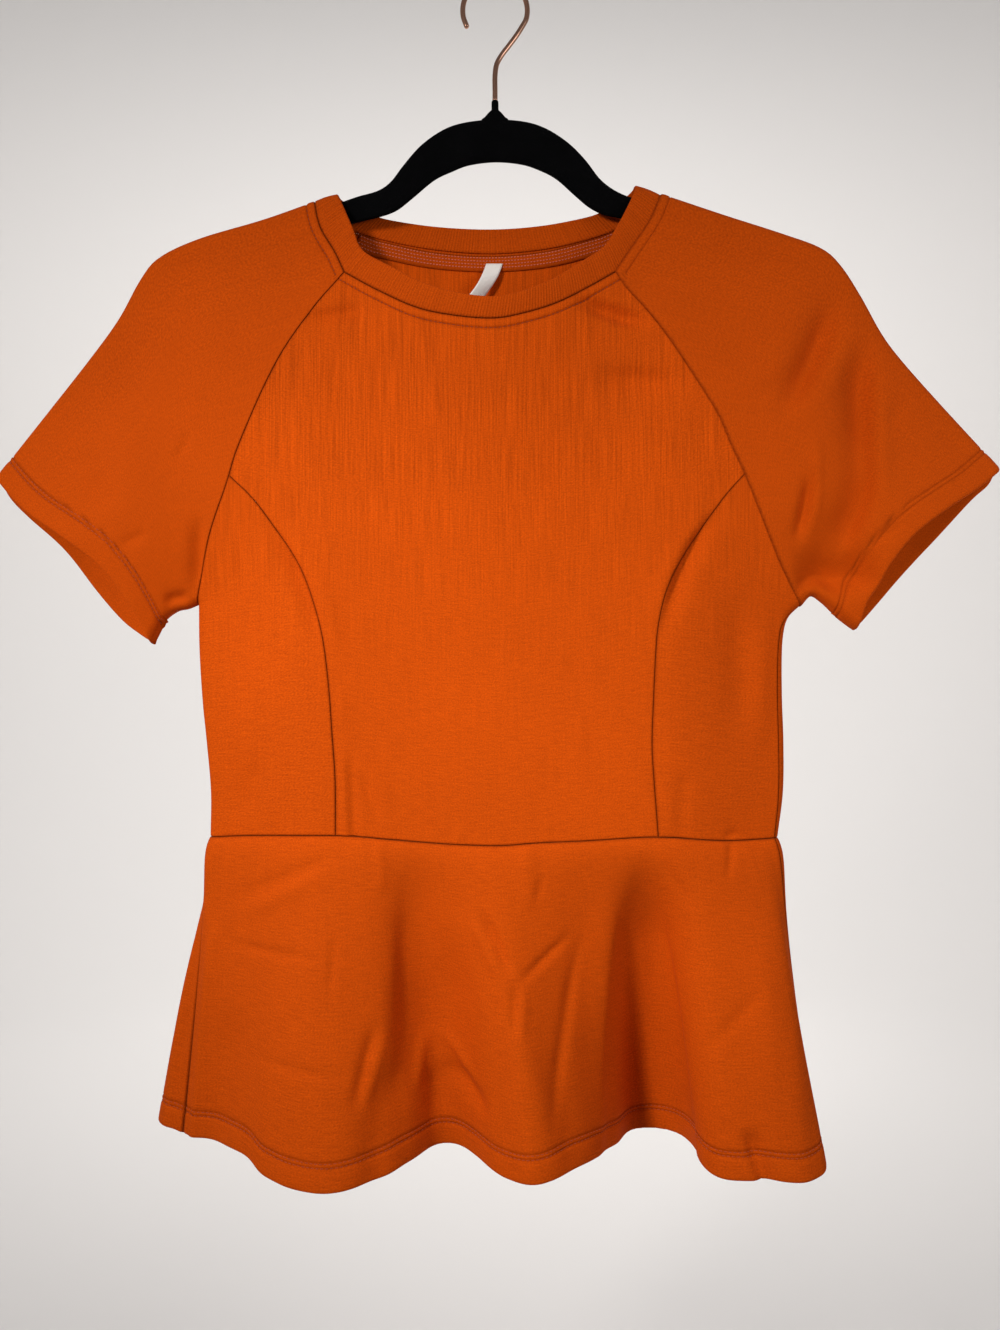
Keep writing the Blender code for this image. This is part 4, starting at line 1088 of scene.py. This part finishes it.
def line_of_stitches(bm, path, normals, start=0.0, pitch=None, lift=0.1, wide=1.0):
    """Short oval stitches laid end to end along a path, half sunk in the cloth."""
    sizes_of = bpy.context.scene.garment_stitches
    pitch = pitch or sizes_of.pitch / MM
    long = sizes_of.length / MM * pitch / (sizes_of.pitch / MM)
    thick = sizes_of.thread / MM * wide
    total = length(path)
    count = int((total - start) // pitch)
    at = (start + pitch * (np.arange(count) + 0.5)) / total
    share = shares(path)
    spots = along(path, at)
    step = 0.2 / total
    ahead = along(path, np.minimum(at + step, 1)) - along(path, np.maximum(at - step, 0))
    outs = np.stack([np.interp(at, share, normals[:, i]) for i in range(3)], -1)
    for spot, run, out in zip(spots, ahead, outs):
        run = Vector(run).normalized()
        out = Vector(out)
        out = (out - run * out.dot(run)).normalized()
        side = run.cross(out)
        place = Matrix((side * thick / 2 * MM, out * thick / 2 * MM, run * long / 2 * MM))
        place = place.transposed().to_4x4()
        place.translation = (Vector(spot) + out * lift) * MM
        bmesh.ops.create_icosphere(bm, subdivisions=1, radius=1, matrix=place)


def stitch_piece(name, bm, finish):
    """One piece from a bmesh of stitches."""
    for face in bm.faces:
        face.smooth = True
    bmesh.ops.recalc_face_normals(bm, faces=bm.faces)
    piece = shown(name, bm, finish)
    sew_on(piece)
    return piece


def hem_stitches(name, grid, normals):
    """The two needle rows of a hem, a set height in from its edge."""
    finish = bpy.data.materials.get("thread_hem") or thread_finish(
        "thread_hem", bpy.context.scene.garment_colours.hem_thread)
    rows = in_from_edge(np.concatenate([grid, normals], axis=-1), needle_rows())
    bm = bmesh.new()
    for row, start in zip(rows, (0.8, 1.9)):
        line_of_stitches(bm, row[:, :3], row[:, 3:], start=start, lift=0.12)
    return stitch_piece(name, bm, finish)


def hemmed_piece(name, grid, normals, relief, mark, far, finish, ring=False):
    """A cloth piece whose last row is turned up inside, and the needle rows that hold it."""
    hem, grooves = hem_relief(far)
    grid = grid + normals * (relief + hem)[..., None]
    normals = grid_normals(grid, normals)
    rows = hem_stitches(name + "_hem_stitches", grid, normals)
    turned = turn_under(grid, normals, sizes()["hem"], TURNED_ROWS)
    # The hem grooves join the seam mark as painted shade.
    piece = cloth_piece(name, turned, normals, np.maximum(mark, grooves), finish, ring=ring)
    return piece, rows


def bottom_between(left, right, waist):
    """The waist seam from the foot of a panel's left line to the foot of its right line."""
    inside = (waist[:, 0] > left[-1, 0]) & (waist[:, 0] < right[-1, 0])
    return np.vstack([left[-1:], waist[inside], right[-1:]])


def side_front(tip, inner, waist, cell):
    """One side front, from the seam under the arm and the side to the princess seam."""
    outer = along(tip, np.interp(np.linspace(0, 1, len(inner)), np.linspace(0, 1, len(tip)),
                                 shares(tip)))
    count = cells(STRETCH["side front"], cell)
    u = np.array([row_shares(max(np.linalg.norm(b - a), 0.4), SEAM_STEPS, SEAM_STEPS, count)
                  for a, b in zip(outer, inner)])
    if outer[-1, 0] < inner[-1, 0]:
        top = np.linspace(outer[0], inner[0] + (0.02, 0), 6)
        return patch(outer, inner, top, bottom_between(outer, inner, waist), u)
    top = np.linspace(inner[0] - (0.02, 0), outer[0], 6)
    return patch(inner, outer, top, bottom_between(inner, outer, waist), u)


def front_pieces():
    """Centre front and both side fronts, with their shared seams."""
    cell = sizes()["cell"]
    right, left = seam_rows(RIGHT, cell), seam_rows(LEFT, cell)
    waist = smooth(WAIST_FRONT)
    left_edge = np.vstack([right["raglan"], right["princess"][1:]])
    right_edge = np.vstack([left["raglan"], left["princess"][1:]])
    count = cells(STRETCH["centre front"], cell * 0.7)
    u = np.array([row_shares(span, SEAM_STEPS, SEAM_STEPS, count)
                  for span in np.linalg.norm(right_edge - left_edge, axis=1)])
    bottom = bottom_between(left_edge, right_edge, waist)
    fold = left["fold"].copy()
    fold[:, 0] -= wrap(fold[:, 1])
    tip_right = np.vstack([right["under"], right["fold"][1:]])
    tip_left = np.vstack([left["under"][:-1], fold])
    return {
        "front_centre": patch(left_edge, right_edge, smooth(NECK_FRONT), bottom, u),
        "front_side_right": side_front(tip_right, right["princess"], waist, cell),
        "front_side_left": side_front(tip_left, left["princess"], waist, cell),
    }


def lapped_row(near, past, cell):
    """Distances along a row of the back: up to the fold, then over the strip that laps round."""
    body = near * row_shares(near, FOLD_STEPS, FOLD_STEPS, cells(STRETCH["body"], cell))
    return np.concatenate([body, near + past * np.array(LAP_SHARES)])


def back_grid():
    """The back, whose left side laps a little way round the fold to the front."""
    cell = sizes()["cell"]
    right, left = seam_rows(RIGHT, cell), seam_rows(LEFT, cell)
    fold_rows = len(left["fold"])
    left_line = np.vstack([right["back"], right["fold"][1:]])
    right_line = np.vstack([left["back"], left["fold"][1:]])
    count = len(left_line)
    fold_x = np.full(count, 1e6)
    fold_x[-fold_rows:] = left["fold"][:, 0]
    reach = np.full(count, 2.0)
    reach[-fold_rows:] = wrap(left["fold"][:, 1])
    right_line[-fold_rows:, 0] += reach[-fold_rows:]
    width = np.linalg.norm(right_line - left_line, axis=1)
    u = np.array([lapped_row(total - past, past, cell) / total
                  for total, past in zip(width, reach)])
    bottom = bottom_between(left_line, right_line, smooth(WAIST_BACK))
    grid = patch(left_line, right_line, smooth(NECK_BACK), bottom, u)
    past = grid[..., 0] > fold_x[:, None]
    grid[..., 0] = np.where(past, 2 * fold_x[:, None] - grid[..., 0], grid[..., 0])
    return grid, np.where(past, 1, -1)


def sleeve_grid(side):
    """Tube of one sleeve from the raglan seams and neck to the cuff, front then back."""
    size = sizes()
    halves = []
    for sheet, raglan, neck, cuff in (
            (1, side["raglan_front"], side["neck_front"], side["cuff_front"]),
            (-1, side["raglan_back"], side["neck_back"], side["cuff_back"])):
        if sheet > 0:
            inner = np.vstack([smooth(side["raglan_under"])[::-1], smooth(raglan)[::-1][1:]])
        else:
            inner = smooth(raglan)[::-1]
        neck = smooth(neck)[::-1]
        seam = np.vstack([inner, neck[1:]])
        count = cells(STRETCH["sleeve"], size["cell"])
        lower = cut_line(side["underarm"], NECK_STEPS, HEM_STEPS, count)
        upper = cut_line(side["shoulder"], NECK_STEPS, HEM_STEPS, count)
        turn = length(inner) / length(seam)
        long = length(seam)
        first = row_shares(turn * long, FOLD_STEPS, NEAR_STEPS,
                           cells(STRETCH["sleeve round"], size["cell"])) * turn
        last = turn + (1 - turn) * row_shares((1 - turn) * long, NEAR_STEPS, FOLD_STEPS,
                                              cells(STRETCH["sleeve neck"], size["cell"]))[1:]
        u = np.broadcast_to(np.concatenate([first, last]), (len(lower), len(first) + len(last)))
        xz = patch(lower, upper, seam, smooth(cuff), u)
        points, normals, far = on_sheet(xz, sheet)
        points[:, 0, 1] = points[:, -1, 1] = 0
        relief = laid_folds(xz, far, FRONT_FOLDS if sheet > 0 else BACK_FOLDS)
        # The second value is painted shade along the neck topstitch.
        stitch_relief, stitched = neck_sewing(xz, sheet)
        halves.append((points, normals, relief + stitch_relief, stitched))
    return [np.concatenate([front, back[:, ::-1][:, 1:]], axis=1) for front, back in zip(*halves)]


def neck_grid():
    """Outer face of the neckband as a closed ring from its seam up to its fold."""
    sections = [
        (RIGHT["neck_front"], 1, False), (NECK_FRONT, 1, False), (LEFT["neck_front"], 1, True),
        (LEFT["neck_back"], -1, False), (NECK_BACK, -1, True), (RIGHT["neck_back"], -1, True),
    ]
    edge_rows = [row for key in BAND_EDGE for row in BAND_EDGE[key]]
    per = 10
    dense = smooth(edge_rows, per, closed=True)
    dense = np.vstack([dense, dense[:1]])
    counts = np.cumsum([0] + [len(BAND_EDGE[key]) * per for key in BAND_EDGE])
    seam, seam_n, edge = [], [], []
    for (rows, sheet, flip), start, end in zip(sections, counts[:-1], counts[1:]):
        line = smooth(rows)
        line = line[::-1] if flip else line
        long = length(line)
        ends = [FOLD_STEPS if abs(p[0]) > 100 else NEAR_STEPS for p in (line[0], line[-1])]
        at = row_shares(long, ends[0], ends[1], cells(long, 2.2))
        xz = along(line, at)
        points, normals, _ = on_sheet(xz, sheet)
        seam.append(points[:-1])
        seam_n.append(normals[:-1])
        edge.append(along(dense[start:end + 1], at)[:-1])
    seam, seam_n, edge = np.vstack(seam), np.vstack(seam_n), np.vstack(edge)
    t = np.array([0, 0.014, 0.032, 0.055, 0.1, 0.18, 0.28, 0.4, 0.52, 0.64, 0.75, 0.85, 0.94, 1])
    t = t[:, None, None]
    grid = seam + (edge - seam) * t
    normals = ring_normals(grid)
    blend = (1 - ease(t / 0.5)) * 0.9
    normals = unit(normals * (1 - blend) + seam_n * blend)
    grid = grid + normals * (BAND_PUFF * np.sin(math.pi * t))
    return grid, normals


def waist_loops():
    """Waist seam points and normals: front from right to left, then back again."""
    cell = sizes()["cell"]
    right = RIGHT["side"][-1]
    left = LEFT["side"][-1]
    lap = wrap(left[1])
    total = left[0] - lap - right[0]
    at = row_shares(total, FOLD_STEPS, LAP_STEPS, cells(STRETCH["body"], cell * 0.62))
    front = height_of(WAIST_FRONT, right[0] + total * at)
    front_points, front_normals, _ = on_sheet(front, 1)
    raw = right[0] + lapped_row(left[0] - right[0], lap, cell)
    back = height_of(WAIST_BACK, raw)
    past = raw > left[0]
    back[:, 0] = np.where(past, 2 * left[0] - raw, raw)
    back_points, back_normals, _ = on_sheet(back, np.where(past, 1, -1))
    return (front_points, front_normals), (back_points[::-1], back_normals[::-1])


def frill_grids():
    """Front and back of the frill: folds grow from nothing at the waist to the full hem."""
    size = sizes()
    waist, normals, hem, belly, counts = [], [], [], [], []
    for (points, outward), rows, amount in zip(waist_loops(), (HEM_FRONT, HEM_BACK),
                                               (BELLY_LEFT, -BELLY_RIGHT)):
        share = shares(points)
        to_end = (1 - share) * length(points)
        waist.append(points[:-1])
        normals.append(outward[:-1])
        hem.append(along(smooth(rows), share)[:-1])
        belly.append(amount * (ease(to_end / 16) * (1 - ease((to_end - 30) / 60)))[:-1])
        counts.append(len(points) - 1)
    waist, outward, hem = np.vstack(waist), np.vstack(normals), np.vstack(hem)
    t = row_shares(FRILL_LENGTH, SEAM_STEPS, HEM_STEPS, cells(STRETCH["frill"], size["cell"] * 0.75))
    t = t[:, None, None]
    grid = waist + (hem - waist) * t
    grid[..., 0] += np.concatenate(belly) * np.sin(math.pi * t[..., 0] ** 0.8)
    puff = t / 0.07 * np.exp(1 - t / 0.07)
    outward = outward * np.array([1, 1, 0])
    grid = grid + FRILL_PUFF * puff * outward
    normals = ring_normals(grid)
    blend = 1 - ease(t / 0.03)
    normals = unit(normals * (1 - blend) + unit(outward) * blend)
    first, both = counts[0], sum(counts)
    return [[closed(g)[:, start:end + 1].copy() for g in (grid, normals)]
            for start, end in ((0, first), (first, both))]


class GARMENT_OT_bodice(bpy.types.Operator):
    """Make the centre front, both side fronts and the back"""

    bl_idname = "garment.make_bodice"
    bl_label = "Bodice"

    def execute(self, context):
        grids = front_pieces()
        edges = {
            "front_centre": ("left", "right", "top", "bottom"),
            "front_side_right": ("left", "right", "bottom"),
            "front_side_left": ("left", "right", "bottom"),
        }
        names = {
            "front_centre": ("centre_front", "front_center"),
            "front_side_right": ("side_front_right", "front_side_right"),
            "front_side_left": ("side_front_left", "front_side_left"),
        }
        for cut, xz in grids.items():
            name, node = names[cut]
            points, normals, mark = sewn_panel(xz, 1, 1, edges[cut], FRONT_FOLDS)
            piece = cloth_piece(name, points, normals, mark, knit(upright=True))
            sew(piece, node)
        xz, sheets = back_grid()
        edges = ("left", "right", "top", "bottom")
        points, normals, mark = sewn_panel(xz, -1, sheets, edges, BACK_FOLDS)
        piece = cloth_piece("back_panel", points, normals, mark, knit(upright=True))
        sew(piece, "back")
        return {"FINISHED"}


class GARMENT_OT_sleeves(bpy.types.Operator):
    """Make both raglan sleeves with their turned cuffs and needle rows"""

    bl_idname = "garment.make_sleeves"
    bl_label = "Sleeves"

    def execute(self, context):
        # The sleeves' lower knit tone is painted shade.
        finish = knit("knit_sleeve", streaks=0.05, tone=0.93, slant=0.8)
        for name, node, side in (("raglan_sleeve_right", "sleeve_right", RIGHT),
                                 ("raglan_sleeve_left", "sleeve_left", LEFT)):
            points, normals, relief, stitched = sleeve_grid(side)
            drop, mark = seam_roll(points, ("top",), sizes()["roll"])
            far = run_lengths(points[::-1])[1][::-1]
            piece, rows = hemmed_piece(name, points, normals, relief - drop,
                                       np.maximum(mark, stitched), far, finish, ring=True)
            sew(piece, node)
        return {"FINISHED"}


class GARMENT_OT_neckband(bpy.types.Operator):
    """Make the folded neckband"""

    bl_idname = "garment.make_neckband"
    bl_label = "Neckband"

    def execute(self, context):
        grid, normals = neck_grid()
        drop, mark = seam_roll(grid, ("top",), sizes()["roll"])
        grid = grid - normals * drop[..., None]
        turned = turn_under(grid, normals, BAND_TURN, TURNED_ROWS)
        # The band's lower knit tone is painted shade.
        piece = cloth_piece("neck_rib_band", closed(turned), closed(normals), closed(mark),
                            knit("knit_band", streaks=0.3, ribs=1.0, tone=0.9), ring=True)
        sew(piece, "neckband")
        return {"FINISHED"}


class GARMENT_OT_frill(bpy.types.Operator):
    """Make the front and back of the flared frill with their turned hem and needle rows"""

    bl_idname = "garment.make_frill"
    bl_label = "Frill"

    def execute(self, context):
        size = sizes()
        # The frill's lower knit tone is painted shade.
        finish = knit("knit_frill", streaks=0.1, tone=0.95)
        names = (("frill_front", "peplum_front", FRILL_FRONT_FOLDS),
                 ("frill_back", "peplum_back", FRILL_BACK_FOLDS))
        for (name, node, folds), (points, normals) in zip(names, frill_grids()):
            across, down = run_lengths(points)
            side = np.minimum(across, across[:, -1:] - across)
            relief = fold_relief(points[..., 0], points[..., 2], folds) * size["folds"]
            relief = relief * ease(side / 10) * ease(down / 4)
            drop, mark = seam_roll(points, ("left", "right", "top"), size["roll"])
            piece, rows = hemmed_piece(name, points, normals, relief - drop, mark,
                                       down[-1:] - down, finish)
            sew(piece, node)
        return {"FINISHED"}


def neck_topstitch(scene):
    """The row of stitches beside the neck seam, but for the part on the shoulders."""
    offset = scene.garment_stitches.neck_offset / MM
    bm = bmesh.new()
    for sheet, folds in ((1, FRONT_FOLDS), (-1, BACK_FOLDS)):
        path = along(NECK_LINES[sheet], np.linspace(0, 1, 160))
        path = path + unit(square_to(np.gradient(path, axis=0))) * offset
        path = path[path[:, 1] < TOPSTITCH_TOP]
        points, normals, far = on_sheet(path, sheet)
        relief = laid_folds(path, far, folds) + neck_sewing(path, sheet)[0]
        points = points + normals * relief[:, None]
        line_of_stitches(bm, points, normals, lift=0.05)
    stitch_piece("neck_topstitch", bm, thread_finish("thread_neck",
                                                     scene.garment_colours.neck_thread))


def neck_cover(scene):
    """The strip that covers the back neck seam on the inside, with its looped stitches."""
    back = NECK_LINES[-1]
    rise = np.array(COVER_RISE)
    u = np.broadcast_to(np.linspace(*COVER_ENDS, 90), (len(rise), 90))
    down = unit(square_to(np.gradient(along(back, u[0]), axis=0)))
    xz = along(back, u) + down[None] * rise[:, None, None]
    points, normals, far = on_sheet(xz, -1)
    relief = laid_folds(xz, far, BACK_FOLDS)
    inner = points + normals * (relief - COVER_INSIDE)[..., None]
    # The strip's lower knit tone is painted shade inside the neck.
    cover = cloth_piece("neck_seam_cover", inner - 0.9 * normals, -normals,
                        np.zeros(inner.shape[:2]), knit("knit_allowance", streaks=0.2, tone=0.8))
    cover.modifiers["cloth thickness"].thickness = COVER_WALL
    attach(cover, "root")
    bm = bmesh.new()
    inside = np.concatenate([inner - 1.0 * normals, -normals], axis=-1)
    for far_in, start, wide in COVER_STITCHES:
        row = np.array([[np.interp(far_in, rise, inside[:, k, i]) for i in range(6)]
                        for k in range(inside.shape[1])])
        line_of_stitches(bm, row[:, :3], row[:, 3:], start=start, pitch=COVER_PITCH, wide=wide)
    rows = stitch_piece("neck_cover_stitches", bm,
                        thread_finish("thread_cover", scene.garment_colours.cover_thread))


class GARMENT_OT_neck_sewing(bpy.types.Operator):
    """Make the neck topstitch and the covered seam inside the back neck"""

    bl_idname = "garment.make_neck_sewing"
    bl_label = "Neck sewing"

    def execute(self, context):
        neck_topstitch(context.scene)
        neck_cover(context.scene)
        return {"FINISHED"}


class GARMENT_OT_label(bpy.types.Operator):
    """Make the small bare label that curls out of the back neck seam"""

    bl_idname = "garment.make_label"
    bl_label = "Neck label"

    def execute(self, context):
        top, low = np.array(LABEL_TOP), np.array(LABEL_LOW)
        rows = []
        outs = []
        for t in np.linspace(0, 1, 22):
            turn = math.radians(LABEL_TURN * ease(1.3 * t))
            mid = top + (low - top) * t + np.array([2.0, -1.5, 0]) * math.sin(math.pi * t)
            across = np.array([math.cos(turn), math.sin(turn), 0])
            face = np.array([math.sin(turn), -math.cos(turn), 0])
            crown = [0.5 * t * (1 - (2 * s) ** 2) for s in np.linspace(-0.5, 0.5, 9)]
            rows.append([mid + across * LABEL_WIDTH * s + face * c
                         for s, c in zip(np.linspace(-0.5, 0.5, 9), crown)])
            outs.append([face] * 9)
        grid = np.array(rows)
        piece = cloth_piece("label", grid, np.array(outs), np.zeros(grid.shape[:2]),
                            label_finish(context.scene.garment_colours.label))
        piece.modifiers["cloth thickness"].thickness = LABEL_WALL
        sew(piece, "neck_label")
        return {"FINISHED"}


def ring_piece(name, rows, finish, node):
    """A closed tube of a hard part, with its ends drawn together."""
    bm, _ = laid_grid(name, np.array(rows, float))
    bmesh.ops.remove_doubles(bm, verts=bm.verts, dist=2e-6)
    bmesh.ops.recalc_face_normals(bm, faces=bm.faces)
    for face in bm.faces:
        face.smooth = True
    piece = shown(name, bm, finish)
    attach(piece, "root")
    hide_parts(node)
    return piece


def hanger_arms():
    """Rows of points round the arms and arch, from the right tip to the left, tips drawn in."""
    stations = along(smooth(ARM_STATIONS, 8), np.linspace(0, 1, 150))
    lobes = [(math.copysign(abs(math.cos(a)) ** 0.6, math.cos(a)),
              math.copysign(abs(math.sin(a)) ** 0.6, math.sin(a)))
             for a in np.linspace(0, 2 * math.pi, 29)]
    rows = []
    for index, (top_x, top_z, low_x, low_z) in enumerate(stations):
        top, low = np.array([top_x, 0, top_z]), np.array([low_x, 0, low_z])
        from_end = min(index, len(stations) - 1 - index)
        thick = ARM_HALF * (0.6 + 0.4 * min(1, from_end / 4))
        mid, half = (top + low) / 2, (top - low) / 2
        rows.append([mid + half * c + np.array([0, thick * s, 0]) for c, s in lobes])
    rows = np.array(rows)
    caps = []
    for row, push in ((rows[0], -1), (rows[-1], 1)):
        mid = row.mean(axis=0)
        caps.append([mid + (row - mid) * share + (push * out, 0, 0)
                     for share, out in ((0.8, 0.7), (0.45, 1.1), (0, 1.2))])
    return caps[0][::-1] + list(rows) + caps[1]


def hanger_boss():
    """Rows of points round the boss and the sleeve of the hook, closed at both ends."""
    heights = along(smooth(BOSS, 6), np.linspace(0, 1, 50))
    turns = np.linspace(0, 2 * math.pi, 33)
    rows = [[(w * math.cos(a), d * math.sin(a), z) for a in turns] for z, w, d in heights]
    return [[(0, 0, BOSS[0][0])] * 33] + rows + [[(0, 0, BOSS[-1][0])] * 33]


def hook_wire():
    """Rows of points round the wire, from the boss over the crook to its rounded tip."""
    centre_z = WIRE_RADIUS - HOOK_RADIUS
    crook = [(HOOK_RADIUS * math.cos(a), centre_z + HOOK_RADIUS * math.sin(a))
             for a in np.linspace(math.radians(CROOK_START), math.radians(CROOK_END), 14)]
    path = along(smooth(SHANK + crook), np.linspace(0, 1, 130))
    run = unit(np.gradient(path, axis=0))
    tips = [(0.5, 0.97), (0.95, 0.86), (1.3, 0.66), (1.5, 0.38), (1.55, 0.0)]
    path = np.vstack([path] + [path[-1:] + run[-1:] * push for push, s in tips])
    run = np.vstack([run] + [run[-1:]] * len(tips))
    scale = np.concatenate([np.ones(130), [s for push, s in tips]])
    turns = np.linspace(0, 2 * math.pi, 21)
    rows = [[(x - dz * WIRE_RADIUS * s * math.cos(a), WIRE_RADIUS * s * math.sin(a),
              z + dx * WIRE_RADIUS * s * math.cos(a)) for a in turns]
            for (x, z), (dx, dz), s in zip(path, run, scale)]
    return [[(path[0, 0], 0, path[0, 1])] * 21] + rows


class GARMENT_OT_hanger(bpy.types.Operator):
    """Make the flocked body of the hanger and its plated wire hook"""

    bl_idname = "garment.make_hanger"
    bl_label = "Hanger"

    def execute(self, context):
        colours = context.scene.garment_hanger
        flock = flock_finish(colours.flock)
        ring_piece("hanger_arms", hanger_arms(), flock, "hanger_body")
        ring_piece("hanger_boss", hanger_boss(), flock, "hanger_body")
        ring_piece("hook", hook_wire(), wire_finish(colours.wire), "hanger_hook")
        return {"FINISHED"}


def backdrop(colour):
    """A round floor that sweeps up into a wall on every side."""
    bm = bmesh.new()
    profile = [(0.02, -1.3), (1.2, -1.3), (2.2, -1.3)]
    profile += [(2.2 + 1.6 * math.sin(a), 0.3 - 1.6 * math.cos(a))
                for a in np.radians(np.linspace(7.5, 90, 12))]
    profile += [(3.8, 1.5), (3.8, 2.7), (3.8, 3.9)]
    points = [bm.verts.new((x, 0, z)) for x, z in profile]
    edges = [bm.edges.new(pair) for pair in zip(points[:-1], points[1:])]
    bmesh.ops.spin(bm, geom=points + edges, cent=(0, 0, 0), axis=(0, 0, 1),
                   angle=2 * math.pi, steps=96, use_merge=True)
    bmesh.ops.remove_doubles(bm, verts=bm.verts, dist=1e-5)
    middle = [e for e in bm.edges if e.is_boundary and e.verts[0].co.z < -1.29]
    bmesh.ops.holes_fill(bm, edges=middle, sides=200)
    bmesh.ops.recalc_face_normals(bm, faces=bm.faces)
    bmesh.ops.reverse_faces(bm, faces=bm.faces)
    for face in bm.faces:
        face.smooth = True
    shown("backdrop", bm, backdrop_finish(colour))


def room_light(scene, strength):
    """The even light from all round."""
    scene.world = bpy.data.worlds.new("soft_room")
    scene.world.use_nodes = True
    shade = scene.world.node_tree.nodes["Background"]
    shade.inputs["Color"].default_value = (0.95, 0.97, 1.0, 1)
    shade.inputs["Strength"].default_value = strength


def disk_light(scene, name, placing, watts, colour):
    """A round soft light, aimed at a place."""
    place, target, wide, spread = placing
    light = bpy.data.lights.new(name, "AREA")
    light.shape = "DISK"
    light.size = wide
    light.spread = math.radians(spread)
    light.energy = watts
    light.color = colour
    lamp = bpy.data.objects.new(name, light)
    lamp.location = place
    lamp.rotation_mode = "QUATERNION"
    lamp.rotation_quaternion = (Vector(target) - Vector(place)).to_track_quat("-Z", "Y")
    scene.collection.objects.link(lamp)


def photo_camera(scene):
    """A level camera in front, at the place that the photo was taken from."""
    camera = bpy.data.cameras.new("camera")
    camera.sensor_fit = "VERTICAL"
    camera.sensor_height = 36
    camera.lens = 28
    camera.clip_start = 0.01
    eye = bpy.data.objects.new("camera", camera)
    eye.location = CAMERA_PLACE
    eye.rotation_euler = (math.radians(90), 0, 0)
    scene.collection.objects.link(eye)
    scene.camera = eye


class GARMENT_OT_stage(bpy.types.Operator):
    """Make the pale backdrop, the soft lights and the camera"""

    bl_idname = "garment.make_stage"
    bl_label = "Stage"

    def execute(self, context):
        scene = context.scene
        look = scene.garment_stage
        backdrop(look.paper)
        room_light(scene, look.sky)
        disk_light(scene, "key", KEY_LIGHT, look.key, (1.0, 0.98, 0.95))
        disk_light(scene, "fill", FILL_LIGHT, look.fill, (0.98, 0.99, 1))
        disk_light(scene, "wall_light", BACKDROP_LIGHT, look.wall, (1, 0.98, 0.96))
        photo_camera(scene)
        scene.view_settings.view_transform = "Standard"
        return {"FINISHED"}


class GARMENT_PT_panel(bpy.types.Panel):
    """Sizes, colours and steps of the garment"""

    bl_label = "Peplum Top"
    bl_idname = "GARMENT_PT_panel"
    bl_space_type = "VIEW_3D"
    bl_region_type = "UI"
    bl_category = "Garment"

    def draw(self, context):
        scene = context.scene
        for title, name in (("Cloth", "garment_cloth"), ("Stitches", "garment_stitches"),
                            ("Colours", "garment_colours"), ("Hanger", "garment_hanger"),
                            ("Stage", "garment_stage")):
            box = self.layout.box()
            box.label(text=title)
            group = getattr(scene, name)
            for key in group.bl_rna.properties.keys():
                if key not in ("rna_type", "name"):
                    box.prop(group, key)
        for step in STEPS:
            self.layout.operator(step.bl_idname)


STEPS = (GARMENT_OT_bodice, GARMENT_OT_sleeves, GARMENT_OT_neckband, GARMENT_OT_frill,
         GARMENT_OT_neck_sewing, GARMENT_OT_label, GARMENT_OT_hanger, GARMENT_OT_stage)
GROUPS = {
    "garment_cloth": ClothSizes, "garment_stitches": StitchSizes,
    "garment_colours": KnitColours, "garment_hanger": HangerColours,
    "garment_stage": StageLook,
}


def register():
    for cls in (*GROUPS.values(), *STEPS, GARMENT_PT_panel):
        bpy.utils.register_class(cls)
    for name, cls in GROUPS.items():
        setattr(bpy.types.Scene, name, PointerProperty(type=cls))


def unregister():
    for name in GROUPS:
        delattr(bpy.types.Scene, name)
    for cls in (GARMENT_PT_panel, *reversed(STEPS), *GROUPS.values()):
        bpy.utils.unregister_class(cls)


def main():
    register()
    bpy.ops.garment.make_bodice()
    bpy.ops.garment.make_sleeves()
    bpy.ops.garment.make_neckband()
    bpy.ops.garment.make_frill()
    bpy.ops.garment.make_neck_sewing()
    bpy.ops.garment.make_label()
    bpy.ops.garment.make_hanger()
    bpy.ops.garment.make_stage()


if __name__ == "__main__":
    main()
